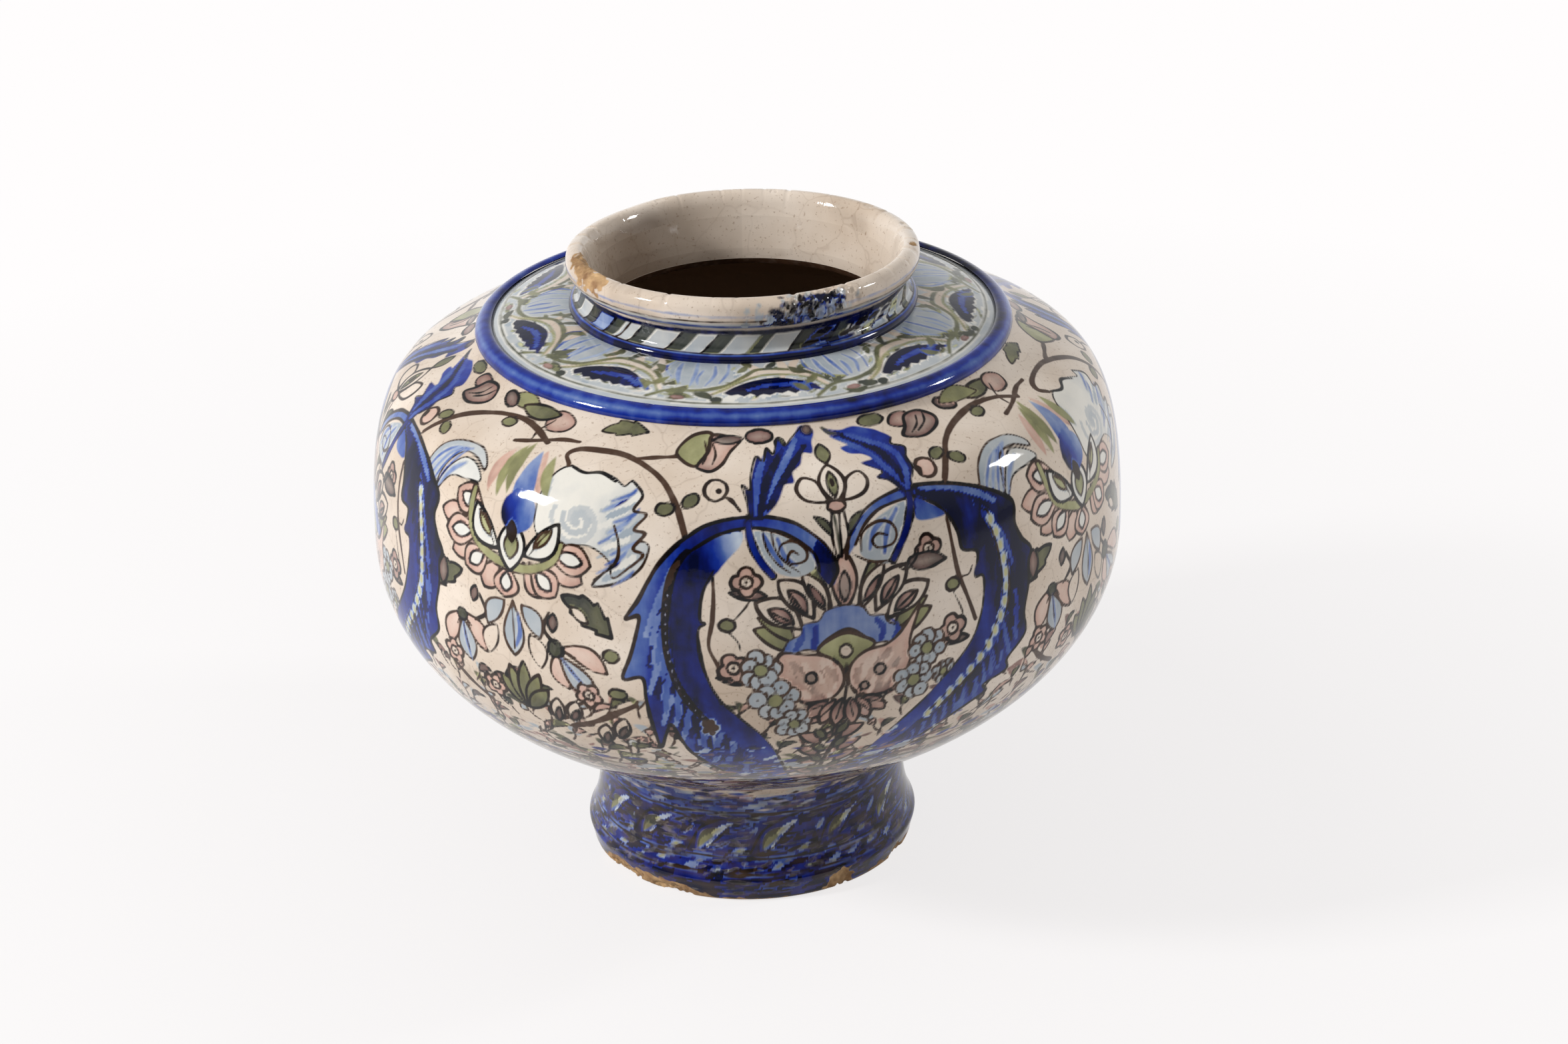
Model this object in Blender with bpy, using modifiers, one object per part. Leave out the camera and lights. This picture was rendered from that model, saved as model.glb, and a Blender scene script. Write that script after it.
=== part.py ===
"""A bulbous glazed stonepaste vase, built as a potter builds it: seven turned sections luted together.

From the table up: foot ring, lower bowl, upper bowl, shoulder dome, the raised moulding that covers the
shoulder seam, neck collar and rolled lip. Every section is a wall profile turned about the Z axis.
Profiles are written in millimetres as (radius, height) and scaled to metres when they become meshes.
"""

import math

import bpy
from mathutils import Vector

MM = 0.001
TURN_STEPS = 48
SLIP_GAP = 0.3  # bed of luting slip between two sections

# Foot ring: standing edge, toe where the glaze stops, flare up to the waist and the seat under the bowl
FOOT_HEIGHT = 49.2
FOOT_EDGE_RADIUS = 62.0
FOOT_EDGE_CHAMFER = 1.6
FOOT_TOE_RADIUS = 63.6
FOOT_TOE_TUCK = 1.2
FOOT_TOE_HEIGHT = 8.5
FOOT_FLARE_SLOPE = 65.0
FOOT_FLARE_REACH = 6.0
FOOT_WAIST_RADIUS = 58.8
FOOT_WAIST_HEIGHT = 33.0
FOOT_SEAT_RADIUS = 61.0
FOOT_RECESS_RADIUS = 50.0
FOOT_STANDING_WIDTH = 7.5
FOOT_RECESS_TAPER = 3.0

# Belly: widest line, the rise below and above it, and the slopes where it meets foot and shoulder
BELLY_RADIUS = 140.0
LOWER_RISE = 84.0
UPPER_RISE = 78.6
BELLY_WALL = 7.0
FLOOR_THICKNESS = 6.0
BOWL_START_SLOPE = 22.0
BOWL_START_REACH = 22.0
BOWL_END_REACH = 50.0
UPPER_START_REACH = 77.0
UPPER_END_REACH = 30.0
UPPER_END_SLOPE = 40.0
LAP_HEIGHT = 3.0
BELLY_SEGMENTS = 11

# Shoulder: dome from the seam to the neck seat, and the half-round moulding over the seam
SEAM_RADIUS = 95.6
DOME_RISE = 7.0
DOME_START_SLOPE = 26.0
DOME_START_REACH = 9.0
DOME_END_REACH = 10.0
DOME_WALL = 6.5
DOME_SEGMENTS = 5
MOULDING_WIDTH = 7.2
MOULDING_HEIGHT = 2.2
MOULDING_SEGMENTS = 8

# Neck collar and rolled lip: the neck's wall, and what stands out from it or flares inside it
NECK_RADIUS = 60.4
NECK_WALL = 7.4
NECK_RISE = 12.0
NECK_BEAD_OUT = 3.6
NECK_BEAD_HEIGHT = 3.4
MOUTH_FLARE = 2.2
LIP_OVERHANG = 4.4
LIP_CROWN_INSET = 4.8
LIP_CROWN_REACH = 2.4
LIP_UNDERCUT = 2.0
LIP_HEIGHT = 9.2
NECK_SEAT_RADIUS = NECK_RADIUS + NECK_BEAD_OUT
THROAT_RADIUS = NECK_RADIUS - NECK_WALL
MOUTH_RADIUS = THROAT_RADIUS + MOUTH_FLARE
LIP_RADIUS = NECK_RADIUS + LIP_OVERHANG
LIP_CROWN_RADIUS = LIP_RADIUS - LIP_CROWN_INSET

# Heights of the seats, from the table up
BELLY_HEIGHT = FOOT_HEIGHT + LOWER_RISE
SEAM_HEIGHT = BELLY_HEIGHT + UPPER_RISE
NECK_SEAT_HEIGHT = SEAM_HEIGHT + DOME_RISE
LIP_SEAT_HEIGHT = NECK_SEAT_HEIGHT + NECK_RISE
TOTAL_HEIGHT = LIP_SEAT_HEIGHT + LIP_HEIGHT


def clear_scene():
    """Removes every object of the open scene."""
    for obj in list(bpy.data.objects):
        bpy.data.objects.remove(obj)


def glaze(name, colour, roughness):
    """A Principled material in one colour."""
    material = bpy.data.materials.new(name)
    material.use_nodes = True
    shader = material.node_tree.nodes["Principled BSDF"]
    shader.inputs["Base Color"].default_value = (*colour, 1.0)
    shader.inputs["Roughness"].default_value = roughness
    shader.inputs["Metallic"].default_value = 0.0
    return material


def direction(degrees):
    """Unit vector in the (radius, height) plane."""
    angle = math.radians(degrees)
    return Vector((math.cos(angle), math.sin(angle)))


def bezier(start, start_handle, end_handle, end, segments):
    """Points along a cubic Bezier curve, both ends included."""
    points = []
    for step in range(segments + 1):
        t = step / segments
        s = 1.0 - t
        points.append(
            s**3 * start + 3 * s * s * t * start_handle + 3 * s * t * t * end_handle + t**3 * end
        )
    return points


def inset(points, wall):
    """The inner face of a wall: each point of an upward outline moved in by the wall along its normal."""
    moved = []
    for index, point in enumerate(points):
        before = points[max(index - 1, 0)]
        after = points[min(index + 1, len(points) - 1)]
        along = (after - before).normalized()
        moved.append(point + wall * Vector((-along.y, along.x)))
    return moved


def lower_belly_outline():
    """Outer face of the lower bowl, from the foot's seat up to the widest line."""
    start = Vector((FOOT_SEAT_RADIUS, FOOT_HEIGHT))
    end = Vector((BELLY_RADIUS, BELLY_HEIGHT))
    return bezier(
        start,
        start + BOWL_START_REACH * direction(BOWL_START_SLOPE),
        end - Vector((0.0, BOWL_END_REACH)),
        end,
        BELLY_SEGMENTS,
    )


def upper_belly_outline():
    """Outer face of the upper bowl, from the widest line up to the shoulder seam."""
    start = Vector((BELLY_RADIUS, BELLY_HEIGHT))
    end = Vector((SEAM_RADIUS, SEAM_HEIGHT))
    return bezier(
        start,
        start + Vector((0.0, UPPER_START_REACH)),
        end - UPPER_END_REACH * direction(180.0 - UPPER_END_SLOPE),
        end,
        BELLY_SEGMENTS,
    )


def dome_outline():
    """Outer face of the shoulder dome, from the seam in to the neck's seat."""
    start = Vector((SEAM_RADIUS, SEAM_HEIGHT))
    end = Vector((NECK_SEAT_RADIUS, NECK_SEAT_HEIGHT))
    return bezier(
        start,
        start + DOME_START_REACH * direction(180.0 - DOME_START_SLOPE),
        end + Vector((DOME_END_REACH, 0.0)),
        end,
        DOME_SEGMENTS,
    )


def foot_ring_profile():
    """Open ring: toe over the standing edge, concave flare to the waist, flat seat and a tapered recess."""
    seat = FOOT_HEIGHT - SLIP_GAP
    edge_top = 2.0 * FOOT_EDGE_CHAMFER
    toe_base = Vector((FOOT_TOE_RADIUS - FOOT_TOE_TUCK, edge_top))
    toe = Vector((FOOT_TOE_RADIUS, FOOT_TOE_HEIGHT))
    waist = Vector((FOOT_WAIST_RADIUS, FOOT_WAIST_HEIGHT))
    top = Vector((FOOT_SEAT_RADIUS, seat))
    reach = (waist.y - toe.y) / 2
    splay = (top.y - waist.y) / 2
    toe_handle = toe + FOOT_FLARE_REACH * direction(180.0 - FOOT_FLARE_SLOPE)
    flare = bezier(toe, toe_handle, waist - Vector((0, reach)), waist, 5)
    stem = bezier(waist, waist + Vector((0, splay)), top - splay * direction(50.0), top, 4)
    recess_top = FOOT_RECESS_RADIUS - FOOT_RECESS_TAPER
    outer = [
        Vector((FOOT_EDGE_RADIUS - FOOT_EDGE_CHAMFER, 0.0)),
        Vector((FOOT_EDGE_RADIUS, FOOT_EDGE_CHAMFER)),
        toe_base,
        *flare,
        *stem[1:],
    ]
    inner = [
        Vector((outer[0].x - FOOT_STANDING_WIDTH, 0.0)),
        Vector((FOOT_RECESS_RADIUS, edge_top)),
        Vector((recess_top, seat)),
    ]
    return outer[::-1] + inner


def lower_bowl_profile():
    """Closed bowl: dished floor inside, belly wall, bevelled lap at the widest line and a flat seat below."""
    outer = lower_belly_outline()
    inner = inset(outer, BELLY_WALL)
    floor = Vector((0.0, FOOT_HEIGHT + FLOOR_THICKNESS))
    inner[-1] = Vector((BELLY_RADIUS - BELLY_WALL, BELLY_HEIGHT + LAP_HEIGHT))
    return [floor, *inner, *outer[::-1], Vector((0.0, FOOT_HEIGHT))]


def upper_bowl_profile():
    """Open ring: belly wall from the bevelled lap up to the shoulder seam."""
    outer = upper_belly_outline()
    inner = inset(outer, BELLY_WALL)
    raised = Vector((0.0, SLIP_GAP))
    outer[0] = outer[0] + raised
    inner[0] = Vector((BELLY_RADIUS - BELLY_WALL, BELLY_HEIGHT + LAP_HEIGHT + SLIP_GAP))
    return outer[::-1] + inner


def dome_profile():
    """Open ring: the shoulder from the seam in to the throat, with a flat seat for the neck."""
    outer = dome_outline()
    inner = inset(outer, DOME_WALL)
    along = direction(180.0 - DOME_START_SLOPE)
    seam_face = inset(upper_belly_outline(), BELLY_WALL)[-1] - outer[0]
    outer[0] = outer[0] + SLIP_GAP * along
    inner[0] = outer[0] + DOME_WALL * seam_face.normalized()
    inner[-1] = Vector((THROAT_RADIUS, inner[-1].y))
    seat = Vector((THROAT_RADIUS, NECK_SEAT_HEIGHT))
    return [seat, *outer[::-1], *inner]


def moulding_profile():
    """Half-round moulding lying over the shoulder seam, clear of both walls by the slip bed."""
    below = upper_belly_outline()[-2]
    above = dome_outline()[1]
    along = (above - below).normalized()
    out = Vector((along.y, -along.x))
    seat = Vector((SEAM_RADIUS, SEAM_HEIGHT)) + SLIP_GAP * out
    points = []
    for step in range(MOULDING_SEGMENTS + 1):
        angle = math.pi * step / MOULDING_SEGMENTS
        across = 0.5 * MOULDING_WIDTH * math.cos(angle)
        points.append(seat + across * along + MOULDING_HEIGHT * math.sin(angle) * out)
    return points


def neck_profile():
    """Short upright collar with a bead where it stands on the dome."""
    base = NECK_SEAT_HEIGHT + SLIP_GAP
    top = LIP_SEAT_HEIGHT
    bead = base + NECK_BEAD_HEIGHT
    return [
        Vector((NECK_RADIUS, top)),
        Vector((NECK_RADIUS, (top + bead) / 2)),
        Vector((NECK_RADIUS + 0.15 * NECK_BEAD_OUT, bead)),
        Vector((NECK_SEAT_RADIUS - 0.25 * NECK_BEAD_OUT, base + 0.7 * NECK_BEAD_HEIGHT)),
        Vector((NECK_SEAT_RADIUS, base + 0.3 * NECK_BEAD_HEIGHT)),
        Vector((NECK_SEAT_RADIUS - 0.1 * NECK_BEAD_OUT, base)),
        Vector((THROAT_RADIUS, base)),
        Vector((MOUTH_RADIUS, top)),
    ]


def lip_profile():
    """Rolled lip: overhangs the neck outside and rounds over into the mouth."""
    seat = LIP_SEAT_HEIGHT + SLIP_GAP
    crown = Vector((LIP_CROWN_RADIUS, TOTAL_HEIGHT))
    brow = Vector((LIP_RADIUS, seat + 0.52 * (TOTAL_HEIGHT - seat)))
    base = Vector((NECK_RADIUS, seat))
    mouth = Vector((MOUTH_RADIUS, seat))
    rise = crown.y - brow.y
    drop = brow.y - base.y
    reach = Vector((LIP_CROWN_REACH, 0))
    outside = bezier(crown, crown + reach, brow + Vector((0, 0.6 * rise)), brow, 4)
    under = bezier(brow, brow - Vector((0, 0.6 * drop)), base + Vector((LIP_UNDERCUT, 0)), base, 3)
    inside = bezier(mouth, mouth + Vector((0, 0.7 * LIP_HEIGHT)), crown - reach, crown, 4)
    return outside + under[1:] + inside[:-1]


def turn(name, profile, material, collection, closed):
    """Turns a wall profile, given down its outer side, about the Z axis."""
    mesh = bpy.data.meshes.new(name)
    count = len(profile)
    edges = [(index, index + 1) for index in range(count - 1)]
    if closed:
        edges.append((count - 1, 0))
    mesh.from_pydata([(MM * point.x, 0.0, MM * point.y) for point in profile], edges, [])
    mesh.materials.append(material)
    section = bpy.data.objects.new(name, mesh)
    collection.objects.link(section)
    screw = section.modifiers.new("turn", "SCREW")
    screw.axis = "Z"
    screw.angle = 2.0 * math.pi
    screw.steps = TURN_STEPS
    screw.render_steps = TURN_STEPS
    screw.use_merge_vertices = True
    screw.merge_threshold = 0.01 * MM
    screw.use_smooth_shade = True
    return section


def main():
    clear_scene()
    vase = bpy.data.collections.new("vase")
    bpy.context.scene.collection.children.link(vase)
    painted = glaze("painted_glaze", (0.71, 0.61, 0.50), 0.18)
    blue_wash = glaze("blue_wash_glaze", (0.09, 0.13, 0.32), 0.22)
    cobalt = glaze("cobalt_glaze", (0.06, 0.08, 0.42), 0.16)
    banded = glaze("banded_glaze", (0.32, 0.36, 0.45), 0.18)
    bare = glaze("worn_cream_glaze", (0.74, 0.66, 0.56), 0.25)
    sections = [
        ("foot_ring", foot_ring_profile(), blue_wash, True),
        ("lower_bowl", lower_bowl_profile(), painted, False),
        ("upper_bowl", upper_bowl_profile(), painted, True),
        ("shoulder_dome", dome_profile(), painted, True),
        ("shoulder_moulding", moulding_profile(), cobalt, True),
        ("neck_collar", neck_profile(), banded, True),
        ("rolled_lip", lip_profile(), bare, True),
    ]
    for name, profile, material, closed in sections:
        turn(name, profile, material, vase, closed)


main()
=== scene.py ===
"""Looks of the painted vase: fine turned walls, an underglaze painting kept as signed distances, worn glaze.

Lengths are millimetres until a mesh is made. A place on the painted wall is (degrees round from the front,
millimetres up the wall), and every painted shape is a curve or outline through given points.
In the painting functions c is the canvas.
"""

import math

import bmesh
import bpy
import numpy as np
from mathutils import Matrix, Vector


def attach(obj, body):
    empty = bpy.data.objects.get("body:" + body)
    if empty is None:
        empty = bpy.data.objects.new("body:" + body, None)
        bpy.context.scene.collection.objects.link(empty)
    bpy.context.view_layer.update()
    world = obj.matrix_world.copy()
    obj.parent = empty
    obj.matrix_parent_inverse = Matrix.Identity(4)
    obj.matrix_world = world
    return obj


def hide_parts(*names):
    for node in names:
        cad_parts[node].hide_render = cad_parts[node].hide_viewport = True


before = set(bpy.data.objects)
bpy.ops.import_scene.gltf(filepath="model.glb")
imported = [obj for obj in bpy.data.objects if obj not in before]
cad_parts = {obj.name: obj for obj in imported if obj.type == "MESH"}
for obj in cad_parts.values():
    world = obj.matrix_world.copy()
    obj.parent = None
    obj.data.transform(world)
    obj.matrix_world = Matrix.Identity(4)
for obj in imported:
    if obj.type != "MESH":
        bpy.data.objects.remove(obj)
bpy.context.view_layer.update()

MM = 0.001
# Columns of every wall, all the way round
COLUMNS = 1280
# The painter's hand: the one source of slips and scattered places in the painting
HAND = np.random.default_rng(11)

# The paints in the order in which they lie on the glaze, the last on top
PAINTS = ("white", "pink", "olive", "blue", "line")
# Reach of the signed distances, the rim that an upper paint keeps over one laid later, and the rim of a tone
FAR = 4.0
OVERLAP = 0.3
TONE_RIM = 0.6
# An outline: its half-width, the share of it that the pen gives, and its swelling along the way
LINE = 0.72
PEN = 0.84
WAVER = 0.16
# How far the hand slips from a point of a curve, and from a point of a spot
CURVE_SLIP = 0.22
SPOT_SLIP = 0.08
# The glaze's specular level
GLOSS = 0.36

# Middle lines, in degrees: the lyre, its stalk, the blossom, and the petals that hang below it
LYRE_AXIS = 13.3
LYRE_STALK = 11.6
BLOSSOM_AXIS = -36.9
HANGING_AXIS = -36.2
# The repeats round the belly: turns of the lyres, turns and widths of the blossoms, and the blossoms' middle
LYRE_TURNS = (0.0, 96.0, 180.0, -96.0)
BLOSSOM_TURNS = ((0.0, 1.0), (96.0, 1.0), (188.0, 0.86), (272.0, 0.86))
BLOSSOM_PIVOT = -37.0
# Stripes round the neck, and degrees from leaf to leaf on the dome
NECK_STRIPES = 26
DOME_STEP = 40

# The camera of the photograph: pixels of the picture, then millimetres and angles
PHOTO_SIZE = (2355, 1568)
PHOTO_AXIS = (1123.0, 820.0)
FOCAL_PIXELS = 5500.0
SENSOR_WIDTH = 36.0
CAMERA_TARGET = 118.7
CAMERA_DISTANCE = 1385.0
CAMERA_ELEVATION = math.radians(24.9)
CAMERA_ROLL = math.radians(-1.7)

# The room shows as white up to HORIZON and dims to CEILING_LIGHT at CEILING. It lights the vase with
# SIDE_LIGHT from the back and FRONT_LIGHT from the camera's side, and the slope passes between the two
HORIZON = 0.2
CEILING = 0.5
CEILING_LIGHT = 0.46
SIDE_LIGHT = 0.4
FRONT_LIGHT = 0.06
ROOM_SLOPE = 0.8
ROOM_MIDDLE = 0.5

# The floor shows as nearly white by the vase and as plain white away from it. Gloss mirrors it from the back
FLOOR_SIDE = 30.0
FLOOR_ROUGHNESS = 0.9
FLOOR_GLOW = 0.76
GLOW_START = 0.22
GLOW_REACH = 0.5
FLOOR_SLOPE = 2.0
FLOOR_MIDDLE = 0.7

# The lamps: place and side in metres, and power in watts
KEY_LAMP = ((-1.55, -0.5, 1.15), 0.3, 31.0)
FILL_LAMP = ((1.5, 0.1, 1.05), 0.26, 8.5)
LAMP_AIM = (0.0, 0.0, 0.12)

# The sections' outer walls, as (radius, height) where they meet
FOOT_TOP = (61.0, 49.05)
WIDEST = (140.0, 133.35)
SEAM = (95.6, 211.8)
NECK_BASE = (64.0, 218.95)
LIP_BASE = (60.4, 231.05)
CROWN = (60.0, 240.0)
# The throat's radius, and the thickness of the belly's wall, of the dome and of the floor
THROAT = 53.0
WALL = 7.0
DOME_WALL = 6.5
FLOOR_WALL = 6.0

# Rows of the belly: up to BOTTOM_ARC along its wall, from there to the widest line, and in the upper bowl
BOTTOM_ARC = 40.0
BOTTOM_ROWS = 48
LOWER_ROWS = 86
UPPER_ROWS = 140
# Spacing of the rows of foot and dome, and of neck and lip
ROW_SPACING = 0.85
FINE_SPACING = 0.6
# The lower bowl's rings part this many rows under its middle, because the lower one has the floor as well
CUT_DROP = 3

# The vase leans a little to the right, and its lip rises towards the front
LEAN = 0.0108
LEAN_PIVOT = 113.7
LIP_LIFT = 1.0
LIP_RISE = 1.3
# Its walls are a little oval and a little three-sided
OVAL = 0.0022
THREE_SIDED = 0.0012
# Free edge of the baking map, round and up each strip
MAP_SIDE = 0.005
MAP_END = 0.01
# Points of a pole closer than this, in metres, become one
POLE_WELD = 1e-5

# The raised moulding: half its width, its height, how far its edges stand proud, and the slope it lies on
RIB_HALF = 3.6
RIB_HEIGHT = 2.3
RIB_PROUD = 0.1
RIB_SLOPE = math.radians(145.0)

# Brown streaks that darken the belly's bottom end this far up it and fade over this length
DARKENING_TOP = 88.0
DARKENING_FADE = 26.0

# The foot's worn edge: (height, middle in degrees, half-width in degrees) of its broad stretches
FOOT_WEAR = ((5.0, -42.0, 22.0), (5.4, 31.0, 5.0), (2.6, 60.0, 18.0))
BACK_WEAR = (3.0, 140.0, 20.0)
# The chips: angle, arc up the wall, half-width, half-height, depth, seed, and whether the body shows
FOOT_CHIPS = (
    (31, 4.4, 6, 5.2, 1.0, 22, True),
    (-52, 2.0, 11, 3.6, 1.0, 24, True),
    (-30, 2.0, 9, 3.0, 1.0, 25, True),
    (62, 2.0, 6, 4.0, 1.0, 26, True),
    (140, 2.0, 9, 4.2, 1.0, 28, True),
    (-130, 2.4, 7, 4.4, 1.0, 30, True),
)
LIP_CHIPS = (
    (-74, 14.0, 9, 4.0, 0.7, 40, True),
    (-58, 11.0, 8, 4.4, 0.6, 42, True),
    (-66, 12.0, 5, 5.0, 0.8, 43, True),
    (12, 6.0, 6, 4.0, 0.9, 44, False),
    (20, 8.0, 8, 5.4, 1.2, 45, False),
    (27, 9.4, 7, 5.0, 1.1, 46, False),
    (35, 9.0, 6, 3.4, 0.8, 47, False),
    (128, 14.0, 3, 1.4, 0.5, 48, False),
    (84, 12.0, 2, 1.4, 0.5, 50, True),
    (-150, 14.6, 3, 1.0, 0.4, 52, False),
    (168, 15.0, 1.5, 1.4, 0.4, 54, False),
    (104, 13.0, 3, 1.2, 0.5, 56, False),
)


def handle_curve(start, start_handle, end_handle, end, count=200):
    """Cubic curve by ends and handles: the terms of (s + t) cubed, with s = 1 - t, weight the four points."""
    t = np.linspace(0.0, 1.0, count)[:, None]
    s = 1.0 - t
    points = np.array([start, start_handle, end_handle, end], float)
    return s**3 * points[0] + 3 * s * s * t * points[1] + 3 * s * t * t * points[2] + t**3 * points[3]


def smooth(points, closed=False, step=7):
    """Smooth curve through the points: each stretch is a cubic with slopes from its neighbours."""
    p = np.asarray(points, float)
    if closed:
        p = np.vstack([p[-1:], p, p[:2]])
    else:
        p = np.vstack([2 * p[:1] - p[1:2], p, 2 * p[-1:] - p[-2:-1]])
    t = np.linspace(0.0, 1.0, step, endpoint=False)[None, :, None]
    a, b, c, d = (p[k : len(p) - 3 + k, None, :] for k in range(4))
    curve = 0.5 * (
        2 * b + (c - a) * t + (2 * a - 5 * b + 4 * c - d) * t**2 + (3 * b - a - 3 * c + d) * t**3
    )
    curve = curve.reshape(-1, p.shape[1])
    return curve if closed else np.vstack([curve, p[-2:-1]])


def lengths(curve):
    """Arc length from the start of a curve to each of its points."""
    return np.concatenate([[0.0], np.cumsum(np.hypot(*np.diff(curve, axis=0).T))])


def resample(curve, arcs):
    """Points of a curve at given arc lengths."""
    run = lengths(curve)
    return np.stack([np.interp(arcs, run, curve[:, k]) for k in range(2)], axis=1)


def even_rows(curve, spacing):
    """Points of a curve at an even spacing, both ends included."""
    total = lengths(curve)[-1]
    return resample(curve, np.linspace(0.0, total, max(2, round(total / spacing) + 1)))


def inset(curve, wall):
    """The inner face of a wall: the outline moved along its normal."""
    slope = np.gradient(curve, axis=0)
    slope /= np.hypot(slope[:, :1], slope[:, 1:])
    return curve + wall * np.stack([-slope[:, 1], slope[:, 0]], axis=1)


def polar(centre, degrees, reach):
    """A point at a reach and direction from another."""
    angle = math.radians(degrees)
    return (centre[0] + reach * math.cos(angle), centre[1] + reach * math.sin(angle))


def between(start, end, part):
    """The point at a part of the way from one point to another."""
    return (start[0] + part * (end[0] - start[0]), start[1] + part * (end[1] - start[1]))


LOWER_BELLY = handle_curve(FOOT_TOP, polar(FOOT_TOP, 22, 22), (WIDEST[0], WIDEST[1] - 50), WIDEST)
UPPER_BELLY = handle_curve(WIDEST, (WIDEST[0], WIDEST[1] + 77), polar(SEAM, 320, 30), SEAM)
DOME = handle_curve(SEAM, polar(SEAM, 154, 9), (NECK_BASE[0] + 10, NECK_BASE[1]), NECK_BASE)
FOOT = smooth(
    [(60.4, 0.0), (61.5, 0.7), (62.0, 1.6), (62.4, 3.4), (63.1, 6.2), (63.6, 8.5), (62.8, 10.4)]
    + [(61.8, 12.6), (60.3, 17.4), (59.2, 24.0), (58.8, 33.0), (59.5, 42.0), FOOT_TOP]
)
NECK = smooth(
    [NECK_BASE, (64.1, 220.1), (63.2, 221.5), (61.2, 222.5), (60.6, 224.2), (60.4, 227.7), LIP_BASE]
)
LIP = smooth(
    [LIP_BASE, (62.4, 231.5), (64.2, 233.2), (64.8, 235.6), (64.2, 238.2), (62.4, 239.6), CROWN]
    + [(58.4, 239.0), (57.0, 236.8), (56.0, 233.8), (55.2, 231.05)]
)


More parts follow.
